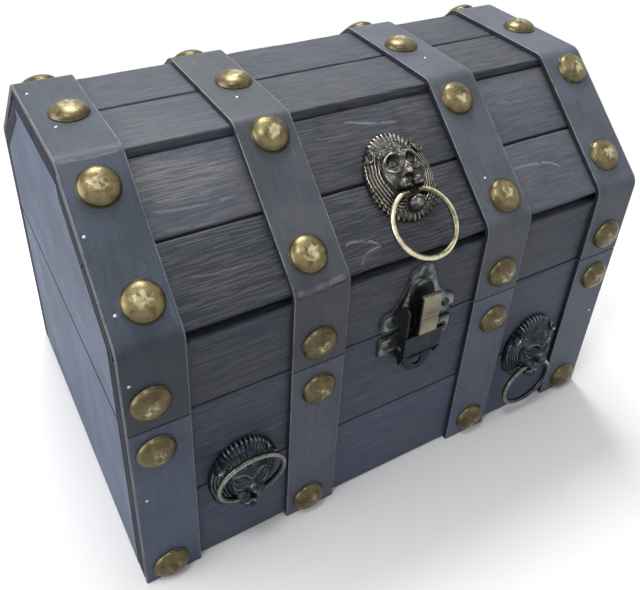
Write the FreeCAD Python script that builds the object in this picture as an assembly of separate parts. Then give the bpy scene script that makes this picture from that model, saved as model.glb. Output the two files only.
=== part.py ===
import FreeCAD, Part
import math
import os

# Treasure chest, in millimetres. X runs along the chest, the front faces -Y, +Z is up,
# and the origin is the middle of the underside.

os.makedirs("parts", exist_ok=True)
Vector = FreeCAD.Vector

# Case and lid, measured over the planks
chest_width = 280.0
case_depth = 188.0
seam_height = 104.6
seam_gap = 0.6
knee_height = 148.5
lid_top_height = 198.8
flat_top_depth = 72.0
top_plank_step = 3.0
plank_thickness = 8.5
plank_gap = 0.9
plank_ease = 0.7
end_board_thickness = 9.0
floor_thickness = 6.0
base_split_height = 51.0
slope_split_length = 37.0
top_split_offset = 1.4

# Bands that run over the planks, and the bays between them
outer_bay_width = 46.8
middle_bay_width = 76.0
band_thickness = 2.5
band_bend_radius = 9.0
band_ease = 0.5
band_seam_ease = 1.2

# Hammered dome studs on the bands
stud_radius = 8.8
stud_height = 4.8
stud_rim_height = 0.6
stud_sides = 10
stud_tiers = 2
base_stud_low = 10.2
base_stud_high = 89.2
skirt_stud_height = 119.1
slope_stud_low = 15.9
slope_stud_high = 67.0

# The studs on the front and the top were driven by hand, so each lies a little off its row:
# (across the band, along the face), from the left band to the right
base_low_shifts = ((-1.2, -0.7), (-1.6, -0.1), (1.1, 2.2), (1.3, -0.7))
base_high_shifts = ((-2.4, 1.7), (0.7, -0.3), (2.5, -1.9), (1.5, 0.6))
skirt_shifts = ((-2.5, 1.1), (-0.4, -0.9), (1.0, 0.4), (1.0, -0.4))
slope_low_shifts = ((2.0, 0.8), (-1.7, -0.8), (2.1, -2.4), (-1.2, 2.3))
slope_high_shifts = ((-0.2, -2.6), (1.1, 2.6), (-1.8, -0.8), (3.0, 0.6))
top_shifts = ((2.3, -1.4), (3.7, -1.1), (-1.3, 3.2), (3.3, -1.6))

# Hinges at the back
hinge_width = 34.0
leaf_thickness = 1.0
leaf_height = 19.0
leaf_corner_radius = 2.5
leaf_screw_spread = 22.0
knuckle_radius = 3.0
knuckle_clearance = 0.4
knuckle_gap = 0.4
lid_knuckle_length = 14.0
hinge_pin_radius = 1.3
pin_clearance = 0.05
stop_lip_reach = 4.4
stop_lip_thickness = 1.2
stop_lip_angle = -5.0

# Small round-head screws
screw_head_radius = 2.5
screw_head_height = 1.2
screw_shank_radius = 1.5
screw_sides = 8

# Latch on the front
front_offset = 3.5
latch_sheet = 1.2
catch_gap = 0.6
catch_apex_radius = 8.0
catch_apex_height = 36.4
catch_ear_radius = 6.2
catch_ear_offset = 16.2
catch_flank_bow = 0.9
catch_top_screw_drop = 6.6
keeper_half_width = 6.0
keeper_height = 26.3
keeper_foot = 2.3
keeper_reach = 6.9
keeper_flat = 5.5
catch_seat_half_width = 12.0
base_plate_half_width = 12.0
base_plate_drop = 18.0
base_ear_half_width = 21.7
base_ear_top_drop = 2.0
base_ear_height = 12.5
base_ear_corner = 2.0
base_ear_screw_offset = 16.6
cheek_outer = 9.6
cheek_radius = 1.8
latch_pin_radius = 0.9
latch_pin_head_radius = 1.4
latch_pin_head_height = 0.6
latch_pin_drop = 9.3
latch_pin_depth = 4.2
flange_outer = 11.0
flange_thickness = 1.0
flange_top_rise = 16.4
short_flange_top_drop = 3.0
flange_bottom_drop = 20.0
flange_inner_depth = 1.6
flange_tail_depth = 3.6
flange_corner = 1.6
tongue_half_width = 8.3
tongue_drop = 27.6
tongue_depth = 4.4
tongue_bend_drop = 17.4
web_bend_drop = 13.4
web_depth = 7.0
web_top_drop = 0.6
pad_half_width = 5.2
pad_depth = 9.1
pad_foot_rise = 1.4
pad_top_rise = 23.4
pad_return_depth = 7.5
pad_corner = 1.2
eye_half_width = 2.8
eye_half_height = 3.2
eye_drop = 21.0
eye_sides = 12

# Lion heads, measured from the mouth, where the ring is hung
head_half_width = 17.3
head_rise = 31.0
beard_drop = 12.5
mane_edge_thickness = 1.6
mane_lock_thickness = 3.8
mane_thickness = 5.0
mane_lock_share = 0.86
mane_groove_share = 0.78
mane_inner_share = 0.66
mouth_depth = 8.2
jaw_half_width = 4.5
jaw_half_height = 3.2
jaw_depth = 10.4
jaw_round = 1.0
face_rise = 14.0
face_half_width = 12.6
face_half_height = 13.4
face_depth = 8.6
muzzle_offset = 3.9
muzzle_rise = 4.6
muzzle_radius = 3.9
muzzle_depth = 12.0
chin_drop = 5.2
chin_half_width = 4.4
chin_half_height = 2.8
chin_depth = 10.0
brow_offset = 6.2
brow_rise = 20.0
brow_half_width = 4.6
brow_half_height = 2.6
brow_depth = 10.2
eye_offset = 6.0
eye_rise = 15.8
eye_radius = 2.5
eye_depth = 9.0
nose_half_width = 2.2
nose_top_rise = 20.0
nose_tip_rise = 7.4
nose_depth = 12.4
ear_offset = 14.4
ear_rise = 22.6
ear_half_width = 3.8
ear_half_height = 4.6
ear_depth = 5.2
head_sides = 8
lion_mouth_height = 42.5
lid_lion_mouth_length = 26.0

# Outline of the mane: shares of the half width, and of the rise (above) or drop (below)
mane_outline_shares = (
    (0.00, 1.00), (0.26, 0.98), (0.52, 0.90), (0.72, 0.78), (0.90, 0.62),
    (1.00, 0.42), (1.00, 0.18), (0.92, -0.12), (0.80, -0.45), (0.56, -0.78),
    (0.26, -0.94), (0.00, -1.00),
)

# Rings in the lions' mouths
ring_radius = 16.1
ring_wire_radius = 1.4
ring_wire_sides = 8
ring_end_offset = 5.5
ring_pin_radius = 1.0
ring_pin_tip_offset = 2.6
ring_pin_clearance = 0.08
ring_sweep_sides = 32
lid_ring_angle = 4.0
right_ring_angle = 3.4
left_ring_angle = -171.0

overrun = 5.0
flatness = 0.0001

# Places worked out from the sizes above
half_width = chest_width / 2
half_depth = case_depth / 2
base_top = seam_height - seam_gap / 2
lid_bottom = seam_height + seam_gap / 2
inner_depth = half_depth - plank_thickness
top_edge = flat_top_depth / 2
slope_end_height = lid_top_height - top_plank_step
slope_angle = math.atan2(slope_end_height - knee_height, half_depth - top_edge)
band_angle = math.atan2(lid_top_height - knee_height, half_depth - top_edge)
hinge_axis_depth = half_depth + knuckle_radius + knuckle_clearance
band_width = (chest_width - middle_bay_width - outer_bay_width - outer_bay_width) / 4
outer_band_centre = half_width - band_width / 2
inner_band_centre = middle_bay_width / 2 + band_width / 2
bay_centre = (middle_bay_width + outer_bay_width) / 2 + band_width
band_centres = (-outer_band_centre, -inner_band_centre, inner_band_centre, outer_band_centre)


def save(name, *solids):
    shape = solids[0] if len(solids) == 1 else Part.makeCompound(list(solids))
    shape.exportStep("parts/" + name + ".step")


def prism(points, direction):
    wire = Part.makePolygon(points + [points[0]])
    return Part.Face(wire).extrude(direction)


def side_prism(points, x_start, x_end):
    # Outline given as (y, z), run along the chest.
    outline = [Vector(x_start, y, z) for y, z in points]
    return prism(outline, Vector(x_end - x_start, 0, 0))


def box_between(x_start, x_end, y_start, y_end, z_start, z_end):
    corner = Vector(x_start, y_start, z_start)
    return Part.makeBox(x_end - x_start, y_end - y_start, z_end - z_start, corner)


def mirror_depth(shape):
    return shape.mirror(Vector(0, 0, 0), Vector(0, 1, 0))


def turned(shape, point, axis, degrees):
    copy = shape.copy()
    copy.rotate(point, axis, degrees)
    return copy


def flat_face(points):
    return Part.Face(Part.makePolygon(points + [points[0]]))


def stacked_solid(outlines):
    # Solid with flat faces between outlines that have as many corners each.
    faces = [flat_face(outlines[0]), flat_face(outlines[-1])]
    for lower, upper in zip(outlines, outlines[1:]):
        for index in range(len(lower)):
            faces += flat_faces([lower[index - 1], lower[index], upper[index], upper[index - 1]])
    shell = Part.Shell(faces)
    shell.sewShape()
    solid = Part.Solid(shell)
    if solid.Volume < 0:
        solid.reverse()
    return solid


def flat_faces(corners):
    # One face where the four corners lie in a plane, and else two triangles.
    first, second, third, fourth = corners
    normal = (second - first).cross(third - first)
    if abs(normal.dot(fourth - first)) < flatness * normal.Length:
        return [flat_face(corners)]
    return [flat_face([first, second, third]), flat_face([first, third, fourth])]


def ellipse_points(centre_x, centre_y, radius_x, radius_y, level, sides):
    points = []
    for step in range(sides):
        turn = math.tau * (step + 0.5) / sides
        points.append(Vector(
            centre_x + radius_x * math.cos(turn), centre_y + radius_y * math.sin(turn), level))
    return points


def faceted_dome(centre_x, centre_y, radius_x, radius_y, base_level, top_level, sides, tiers, rim=0.0):
    # A dome with flat facets: rings of a quarter ellipse, joined by ruled faces.
    rings = [(1.0, base_level)]
    for tier in range(tiers):
        rise = math.pi / 2 * tier / tiers
        rings.append((math.cos(rise), base_level + rim + (top_level - base_level - rim) * math.sin(rise)))
    last = math.pi / 2 * (tiers - 1 / 2) / tiers
    rings.append((math.cos(last), top_level))
    if rim == 0:
        rings.pop(0)
    outlines = []
    for share, level in rings:
        outlines.append(ellipse_points(centre_x, centre_y, radius_x * share, radius_y * share, level, sides))
    return stacked_solid(outlines)


# Planks. Each lies on a line in the side view, from start to end, with its outside face
# on the line and its two outer corners eased.
def plank(start, end, end_lean=0.0):
    (y_start, z_start), (y_end, z_end) = start, end
    length = math.hypot(y_end - y_start, z_end - z_start)
    along = ((y_end - y_start) / length, (z_end - z_start) / length)
    inward = (along[1], -along[0])

    def point(distance, depth):
        return (y_start + along[0] * distance + inward[0] * depth,
                z_start + along[1] * distance + inward[1] * depth)

    # end_lean cuts the far end at a slant: how far it draws back for each unit of depth.
    outline = [point(0, plank_ease), point(plank_ease, 0), point(length - plank_ease, 0),
               point(length - plank_ease * end_lean, plank_ease),
               point(length - plank_thickness * end_lean, plank_thickness), point(0, plank_thickness)]
    solid = side_prism(outline, -half_width, half_width)
    ends = []
    for side in (-1, 1):
        corner = [Vector(side * (half_width - plank_ease), *point(-overrun, -overrun)),
                  Vector(side * (half_width + overrun), *point(-overrun, -overrun)),
                  Vector(side * (half_width + overrun), *point(-overrun, plank_ease + overrun)),
                  Vector(side * (half_width - plank_ease), *point(-overrun, 0))]
        run = Vector(0, *[part * (length + overrun + overrun) for part in along])
        ends.append(prism(corner, run))
    return solid.cut(Part.makeCompound(ends))


def slope_point(distance):
    return (-half_depth + distance * math.cos(slope_angle), knee_height + distance * math.sin(slope_angle))


def slope_length():
    return (half_depth - top_edge - plank_gap) / math.cos(slope_angle)


def upper_slope_plank():
    # Its top end is cut upright, where it meets the edge of the top plank.
    foot = slope_point(slope_split_length + plank_gap / 2)
    return plank(foot, slope_point(slope_length()), end_lean=math.tan(slope_angle))


def lower_slope_plank():
    return plank(slope_point(0), slope_point(slope_split_length - plank_gap / 2))


def skirt_plank():
    top = knee_height - plank_thickness * math.cos(slope_angle) - plank_gap / 2
    return plank((-half_depth, lid_bottom), (-half_depth, top))


def front_planks():
    base_lower = plank((-half_depth, 0), (-half_depth, base_split_height - plank_gap / 2))
    base_upper = plank((-half_depth, base_split_height + plank_gap / 2), (-half_depth, base_top))
    return base_lower, base_upper


def build_planks():
    base_lower, base_upper = front_planks()
    pairs = {
        "base_SIDE_lower_plank": base_lower,
        "base_SIDE_upper_plank": base_upper,
        "lid_SIDE_skirt_plank": skirt_plank(),
        "lid_SIDE_slope_lower_plank": lower_slope_plank(),
        "lid_SIDE_slope_upper_plank": upper_slope_plank(),
    }
    for name, solid in pairs.items():
        save(name.replace("SIDE", "front"), solid)
        save(name.replace("SIDE", "back"), mirror_depth(solid))
    split_front = top_split_offset - plank_gap / 2
    split_back = top_split_offset + plank_gap / 2
    save("lid_top_front_plank", plank((-top_edge, lid_top_height), (split_front, lid_top_height)))
    save("lid_top_back_plank", plank((split_back, lid_top_height), (top_edge, lid_top_height)))


def build_boards():
    # End boards fill the outline inside the planks; the floor lies between them.
    base_outline = [(-inner_depth, 0), (inner_depth, 0), (inner_depth, base_top), (-inner_depth, base_top)]
    under_top = lid_top_height - plank_thickness
    shift = plank_thickness / math.cos(slope_angle)
    knee = knee_height - shift + plank_thickness * math.tan(slope_angle)
    ridge = top_edge + plank_gap
    corner = knee_height - shift + (half_depth - ridge) * math.tan(slope_angle)
    lid_outline = [(-inner_depth, lid_bottom), (inner_depth, lid_bottom), (inner_depth, knee), (ridge, corner),
                   (ridge, under_top), (-ridge, under_top), (-ridge, corner), (-inner_depth, knee)]
    for name, side in (("left", -1), ("right", 1)):
        outside = side * half_width
        inside = side * (half_width - end_board_thickness)
        save("base_" + name + "_end_board", side_prism(base_outline, outside, inside))
        save("lid_" + name + "_end_board", side_prism(lid_outline, outside, inside))
    inner_width = half_width - end_board_thickness
    save("base_floor_board", box_between(
        -inner_width, inner_width, -inner_depth, inner_depth, 0, floor_thickness))


# Bands. The base has a straight strip on each face; the lid has one strip over the top.
def rounded_wire(points, radius, x):
    edges = []
    count = len(points)
    trimmed = []
    for index in range(count):
        y, z, rounded = points[index]
        before = points[index - 1]
        after = points[(index + 1) % count]
        if not rounded:
            trimmed.append(((y, z), None, (y, z)))
            continue
        to_before = Vector(before[0] - y, before[1] - z, 0).normalize()
        to_after = Vector(after[0] - y, after[1] - z, 0).normalize()
        half_turn = to_before.getAngle(to_after) / 2
        back = radius / math.tan(half_turn)
        middle = (to_before + to_after).normalize() * (radius / math.sin(half_turn) - radius)
        trimmed.append(((y + to_before.x * back, z + to_before.y * back),
                        (y + middle.x, z + middle.y),
                        (y + to_after.x * back, z + to_after.y * back)))
    for index in range(count):
        first, middle, last = trimmed[index]
        following = trimmed[(index + 1) % count][0]
        if middle:
            edges.append(Part.Arc(Vector(x, *first), Vector(x, *middle), Vector(x, *last)).toShape())
        edges.append(Part.LineSegment(Vector(x, *last), Vector(x, *following)).toShape())
    return Part.Wire(edges)


def band_outer_points():
    # The outside of the band: the line over the plank corners, moved out by its thickness.
    out_depth = half_depth + band_thickness
    out_top = lid_top_height + band_thickness
    rise = band_thickness / math.cos(band_angle)
    knee = knee_height + rise - band_thickness * math.tan(band_angle)
    ridge = half_depth - (out_top - rise - knee_height) / math.tan(band_angle)
    return out_depth, out_top, knee, ridge


def lid_band(centre):
    out_depth, out_top, knee, ridge = band_outer_points()
    seam = lid_bottom
    ease = band_seam_ease
    outline = [(-out_depth + ease, seam, False), (-out_depth, seam + ease, False), (-out_depth, knee, True),
               (-ridge, out_top, True), (ridge, out_top, True), (out_depth, knee, True),
               (out_depth, seam + ease, False), (out_depth - ease, seam, False)]
    x_start = centre - band_width / 2
    blank = Part.Face(rounded_wire(outline, band_bend_radius, x_start)).extrude(Vector(band_width, 0, 0))
    core = [(-half_depth, seam - overrun), (half_depth, seam - overrun), (half_depth, knee_height),
            (top_edge, slope_end_height), (top_edge, lid_top_height),
            (-top_edge, lid_top_height), (-top_edge, slope_end_height), (-half_depth, knee_height)]
    return blank.cut(side_prism(core, x_start - overrun, x_start + band_width + overrun))


def base_band(centre):
    out_depth = half_depth + band_thickness
    outline = [(-half_depth, 0), (-out_depth + band_ease, 0), (-out_depth, band_ease),
               (-out_depth, base_top - band_seam_ease), (-out_depth + band_seam_ease, base_top),
               (-half_depth, base_top)]
    return side_prism(outline, centre - band_width / 2, centre + band_width / 2)


def build_bands():
    for number, centre in enumerate(band_centres, start=1):
        strip = base_band(centre)
        save("base_front_band_" + str(number), strip)
        save("base_back_band_" + str(number), mirror_depth(strip))
        save("lid_band_" + str(number), lid_band(centre))


# Studs. One hammered dome is made pointing up and laid on each seat of a band.
def stud_on(x, y, z, lean):
    dome = faceted_dome(0, 0, stud_radius, stud_radius, 0, stud_height, stud_sides, stud_tiers, stud_rim_height)
    dome.rotate(Vector(0, 0, 0), Vector(1, 0, 0), lean)
    dome.translate(Vector(x, y, z))
    return dome


def build_studs():
    out_depth, out_top, knee, ridge = band_outer_points()

    def upright_stud(x, height):
        return stud_on(x, -out_depth, height, 90.0)

    def slope_stud(x, distance):
        y = -out_depth + distance * math.cos(band_angle)
        z = knee + distance * math.sin(band_angle)
        return stud_on(x, y, z, math.degrees(band_angle))

    def row(make, place, shifts):
        # The front has the shifted studs, and the back a straight row.
        placed = []
        for x, (across, along) in zip(band_centres, shifts):
            placed += [make(x + across, place + along), mirror_depth(make(x, place))]
        return placed

    base_studs = row(upright_stud, base_stud_low, base_low_shifts)
    base_studs += row(upright_stud, base_stud_high, base_high_shifts)
    lid_studs = row(upright_stud, skirt_stud_height, skirt_shifts)
    lid_studs += row(slope_stud, slope_stud_low, slope_low_shifts)
    lid_studs += row(slope_stud, slope_stud_high, slope_high_shifts)
    for x, (across, along) in zip(band_centres, top_shifts):
        lid_studs.append(stud_on(x + across, along, out_top, 0))
    save("base_studs", *base_studs)
    save("lid_studs", *lid_studs)


# Hinges
def hinge_leaf(side, knuckles, stop_lip):
    # Leaf flat on the back planks, with knuckles on the seam line. side is 1 for the lid.
    root = knuckle_radius + knuckle_clearance + plank_gap
    start = seam_height + side * root
    end = start + side * leaf_height
    half = hinge_width / 2
    low, high = min(start, end), max(start, end)
    leaf = box_between(-half, half, half_depth, half_depth + leaf_thickness, low, high)
    outer_edges = [edge for edge in leaf.Edges
                   if abs(edge.BoundBox.ZLength) < pin_clearance and abs(edge.BoundBox.XLength) < pin_clearance
                   and abs(edge.CenterOfMass.z - end) < pin_clearance]
    leaf = leaf.makeFillet(leaf_corner_radius, outer_edges)
    axis = Vector(0, hinge_axis_depth, seam_height)
    for x_start, x_end in knuckles:
        near = seam_height + side * seam_gap / 2
        strap = box_between(x_start, x_end, half_depth, half_depth + leaf_thickness, min(near, start), max(near, start))
        barrel = Part.makeCylinder(
            knuckle_radius, x_end - x_start, Vector(x_start, axis.y, axis.z), Vector(1, 0, 0))
        leaf = leaf.fuse([strap, barrel])
        if stop_lip:
            reach = box_between(x_start, x_end, axis.y, axis.y + stop_lip_reach,
                                axis.z - stop_lip_thickness / 2, axis.z + stop_lip_thickness / 2)
            leaf = leaf.fuse(turned(reach, axis, Vector(1, 0, 0), stop_lip_angle))
    bore = Part.makeCylinder(hinge_pin_radius + pin_clearance, hinge_width + overrun + overrun,
                             Vector(-half - overrun, axis.y, axis.z), Vector(1, 0, 0))
    leaf = leaf.cut(bore)
    for x, z in leaf_screw_places(side):
        hole = turned(shank_solid(leaf_thickness + overrun), Vector(0, 0, 0), Vector(1, 0, 0), -90.0)
        leaf = leaf.cut(hole.translated(Vector(x, half_depth, z)))
    return leaf.removeSplitter()


def leaf_screw_places(side):
    height = seam_height + side * (knuckle_radius + knuckle_clearance + plank_gap + leaf_height / 2)
    return [(-leaf_screw_spread / 2, height), (leaf_screw_spread / 2, height)]


def shank_solid(length):
    ends = [ellipse_points(0, 0, screw_shank_radius, screw_shank_radius, level, screw_sides) for level in (0, length)]
    return stacked_solid(ends)


def screw(seat_thickness):
    # Round head on the seat, with the shank filling the hole through it.
    head = faceted_dome(0, 0, screw_head_radius, screw_head_radius, seat_thickness,
                        seat_thickness + screw_head_height, screw_sides, 2)
    return head.fuse(shank_solid(seat_thickness))


def build_hinges():
    half = hinge_width / 2
    half_lid = lid_knuckle_length / 2
    base_knuckles = [(-half, -half_lid - knuckle_gap), (half_lid + knuckle_gap, half)]
    lid_knuckles = [(-half_lid, half_lid)]
    base_leaf = hinge_leaf(-1, base_knuckles, False)
    lid_leaf = hinge_leaf(1, lid_knuckles, True)
    hinge_pin = Part.makeCylinder(hinge_pin_radius, hinge_width, Vector(-half, hinge_axis_depth, seam_height),
                                  Vector(1, 0, 0))
    for name, x in (("left", -bay_centre), ("right", bay_centre)):
        move = Vector(x, 0, 0)
        save("hinge_" + name + "_base_leaf", base_leaf.translated(move))
        save("hinge_" + name + "_lid_leaf", lid_leaf.translated(move))
        save("hinge_" + name + "_pin", hinge_pin.translated(move))
    back_screw = turned(screw(leaf_thickness), Vector(0, 0, 0), Vector(1, 0, 0), -90.0)
    for name, side in (("base", -1), ("lid", 1)):
        screws = []
        for hinge_x in (-bay_centre, bay_centre):
            for x, z in leaf_screw_places(side):
                screws.append(back_screw.translated(Vector(hinge_x + x, half_depth, z)))
        save("hinge_" + name + "_screws", *screws)


# Latch. Its pieces are drawn in a front view: x from the latch's middle, z up, and
# depth out from the planks.
def front_view(points, depth_start, depth_end):
    outline = [Vector(front_offset + x, -half_depth - depth_start, z) for x, z in points]
    return prism(outline, Vector(0, depth_start - depth_end, 0))


def front_cylinder(x, z, radius, depth_start, depth_end):
    return Part.makeCylinder(radius, depth_end - depth_start,
                             Vector(front_offset + x, -half_depth - depth_start, z), Vector(0, -1, 0))


def side_view(points, x_start, x_end):
    # Outline given as (depth, z).
    outline = [(-half_depth - depth, z) for depth, z in points]
    return side_prism(outline, front_offset + x_start, front_offset + x_end)


def front_screws(places):
    front_screw = turned(screw(latch_sheet), Vector(0, 0, 0), Vector(1, 0, 0), 90.0)
    return [front_screw.translated(Vector(front_offset + x, -half_depth, z)) for x, z in places]


def front_screw_hole(x, z):
    hole = turned(shank_solid(latch_sheet + overrun), Vector(0, 0, 0), Vector(1, 0, 0), 90.0)
    return hole.translated(Vector(front_offset + x, -half_depth, z))


def catch_screw_places():
    bottom = seam_height + catch_gap
    ear = bottom + catch_ear_radius
    top = bottom + catch_apex_height - catch_top_screw_drop
    return [(-catch_ear_offset, ear), (catch_ear_offset, ear), (0, top)]


def latch_catch():
    # Bell-shaped plate with a raised keeper in its middle.
    bottom = seam_height + catch_gap
    ear = bottom + catch_ear_radius
    apex = bottom + catch_apex_height - catch_apex_radius
    depth = -half_depth

    def at(x, z):
        return Vector(front_offset + x, depth, z)

    edges = []
    for side in (-1, 1):
        foot = at(side * catch_ear_offset, bottom)
        tip = at(side * (catch_ear_offset + catch_ear_radius), ear)
        shoulder = at(side * catch_ear_offset, ear + catch_ear_radius)
        flank = at(side * catch_apex_radius, apex)
        middle_x = side * ((catch_ear_offset + catch_apex_radius) / 2 - catch_flank_bow)
        middle = at(middle_x, (ear + catch_ear_radius + apex) / 2 - catch_flank_bow)
        edges.append(Part.Arc(foot, tip, shoulder).toShape())
        edges.append(Part.Arc(shoulder, middle, flank).toShape())
    edges.append(Part.Arc(at(-catch_apex_radius, apex), at(0, apex + catch_apex_radius),
                          at(catch_apex_radius, apex)).toShape())
    edges.append(Part.LineSegment(at(-catch_ear_offset, bottom), at(catch_ear_offset, bottom)).toShape())
    outline = Part.Wire(Part.__sortEdges__(edges))
    plate = Part.Face(outline).extrude(Vector(0, -latch_sheet, 0))
    top = bottom + keeper_height
    ramp = [(0, bottom + keeper_foot), (keeper_reach, bottom + keeper_foot),
            (keeper_reach, bottom + keeper_foot + keeper_flat), (latch_sheet, top), (0, top)]
    wedge = side_view(ramp, -keeper_half_width, keeper_half_width)
    arch_centre = top - keeper_half_width
    arch = front_cylinder(0, arch_centre, keeper_half_width, 0, keeper_reach + overrun)
    body = front_view([(-keeper_half_width, bottom), (keeper_half_width, bottom),
                       (keeper_half_width, arch_centre), (-keeper_half_width, arch_centre)],
                      0, keeper_reach + overrun)
    catch = plate.fuse(wedge.common(arch.fuse(body)))
    for x, z in catch_screw_places():
        catch = catch.cut(front_screw_hole(x, z))
    return catch.removeSplitter()


def base_screw_places():
    height = seam_height - base_ear_top_drop - base_ear_height / 2
    return [(-base_ear_screw_offset, height), (base_ear_screw_offset, height)]


def latch_base_plate():
    # Plate with two square ears and two cheeks that hold the lever's pin.
    top = seam_height - catch_gap
    half = base_plate_half_width
    plate = front_view([(-half, top - base_plate_drop), (half, top - base_plate_drop), (half, top), (-half, top)],
                       0, latch_sheet)
    ear_top = seam_height - base_ear_top_drop
    ear_bottom = ear_top - base_ear_height
    wide = base_ear_half_width
    ears = front_view([(-wide, ear_bottom), (wide, ear_bottom), (wide, ear_top), (-wide, ear_top)], 0, latch_sheet)
    corners = [edge for edge in ears.Edges
               if edge.BoundBox.XLength < pin_clearance and edge.BoundBox.ZLength < pin_clearance]
    plate = plate.fuse(ears.makeFillet(base_ear_corner, corners))
    pin_height = seam_height - latch_pin_drop
    for side in (-1, 1):
        inner, outer = side * (cheek_outer - flange_thickness), side * cheek_outer
        x_start, x_end = min(inner, outer), max(inner, outer)
        stem = side_view([(0, pin_height - cheek_radius), (latch_pin_depth, pin_height - cheek_radius),
                          (latch_pin_depth, pin_height + cheek_radius), (0, pin_height + cheek_radius)],
                         x_start, x_end)
        eye = Part.makeCylinder(cheek_radius, x_end - x_start,
                                Vector(front_offset + x_start, -half_depth - latch_pin_depth, pin_height),
                                Vector(1, 0, 0))
        plate = plate.fuse([stem, eye])
    plate = plate.cut(latch_pin_cylinder(latch_pin_radius, flange_outer))
    for x, z in base_screw_places():
        plate = plate.cut(front_screw_hole(x, z))
    return plate.removeSplitter()


def latch_pin_cylinder(radius, reach):
    return Part.makeCylinder(radius, reach + reach,
                             Vector(front_offset - reach, -half_depth - latch_pin_depth,
                                    seam_height - latch_pin_drop), Vector(1, 0, 0))


def latch_pin():
    reach = flange_outer + pin_clearance + pin_clearance
    pin = latch_pin_cylinder(latch_pin_radius, reach)
    for side in (-1, 1):
        start = Vector(front_offset + side * reach, -half_depth - latch_pin_depth, seam_height - latch_pin_drop)
        ends = [ellipse_points(0, 0, latch_pin_head_radius, latch_pin_head_radius, level, screw_sides)
                for level in (0, latch_pin_head_height)]
        head = turned(stacked_solid(ends), Vector(0, 0, 0), Vector(0, 1, 0), side * 90.0)
        pin = pin.fuse(head.translated(start))
    return pin


def sheet_profile(centre_line, thickness):
    # Outline of a bent sheet: the centre line moved half its thickness to each side.
    left, right = [], []
    count = len(centre_line)
    for index, (depth, z) in enumerate(centre_line):
        before = centre_line[max(index - 1, 0)]
        after = centre_line[min(index + 1, count - 1)]
        into = Vector(depth - before[0], z - before[1], 0)
        out = Vector(after[0] - depth, after[1] - z, 0)
        if index == 0:
            into = out
        if index == count - 1:
            out = into
        into.normalize()
        out.normalize()
        bisector = (into + out).normalize()
        half = thickness / 2 / bisector.dot(into)
        left.append((depth - bisector.y * half, z + bisector.x * half))
        right.append((depth + bisector.y * half, z - bisector.x * half))
    return left + right[::-1]


def latch_lever():
    # One bent sheet from the tongue up to the bright pad, with a tall flange down its left
    # side and a short one at the pin on its right.
    pad_top = seam_height + pad_top_rise
    centre_line = [
        (tongue_depth, seam_height - tongue_drop), (tongue_depth, seam_height - tongue_bend_drop),
        (web_depth, seam_height - web_bend_drop), (web_depth, seam_height - web_top_drop),
        (pad_depth, seam_height + pad_foot_rise), (pad_depth, pad_top), (pad_return_depth, pad_top)]
    sheet = side_view(sheet_profile(centre_line, latch_sheet), -flange_outer, flange_outer)
    reach = pad_depth + overrun
    round_centre = seam_height - tongue_drop + tongue_half_width
    tongue = front_cylinder(0, round_centre, tongue_half_width, 0, reach)
    web_bottom = seam_height - web_bend_drop
    web_top = seam_height
    neck = front_view([(-tongue_half_width, round_centre), (tongue_half_width, round_centre),
                       (flange_outer, web_bottom), (flange_outer, web_top),
                       (-flange_outer, web_top), (-flange_outer, web_bottom)], 0, reach)
    pad = front_view([(-pad_half_width, web_bottom), (pad_half_width, web_bottom),
                      (pad_half_width, pad_top + overrun), (-pad_half_width, pad_top + overrun)], 0, reach)
    lever = sheet.common(tongue.fuse([neck, pad]))
    flange_bottom = seam_height - flange_bottom_drop
    pin_height = seam_height - latch_pin_drop
    outer = web_depth + latch_sheet / 2
    for side, flange_top in ((-1, seam_height + flange_top_rise), (1, seam_height - short_flange_top_drop)):
        outline = [(flange_inner_depth, pin_height), (flange_inner_depth, flange_top - flange_corner),
                   (flange_inner_depth + flange_corner, flange_top), (outer - flange_corner, flange_top),
                   (outer, flange_top - flange_corner), (outer, web_bottom),
                   (tongue_depth + latch_sheet / 2, flange_bottom), (flange_tail_depth, flange_bottom)]
        inner_x, outer_x = side * (flange_outer - flange_thickness), side * flange_outer
        lever = lever.fuse(side_view(outline, min(inner_x, outer_x), max(inner_x, outer_x)))
    lever = lever.cut(latch_pin_cylinder(latch_pin_radius + pin_clearance, flange_outer + overrun))
    ends = [ellipse_points(0, 0, eye_half_width, eye_half_height, level, eye_sides) for level in (0, reach)]
    eye = turned(stacked_solid(ends), Vector(0, 0, 0), Vector(1, 0, 0), 90.0)
    return lever.cut(eye.translated(Vector(front_offset, -half_depth, seam_height - eye_drop))).removeSplitter()


def build_latch():
    save("latch_catch", latch_catch())
    save("latch_catch_screws", *front_screws(catch_screw_places()))
    save("latch_base_plate", latch_base_plate())
    save("latch_base_screws", *front_screws(base_screw_places()))
    save("latch_pin", latch_pin())
    save("latch_lever", latch_lever())


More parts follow.
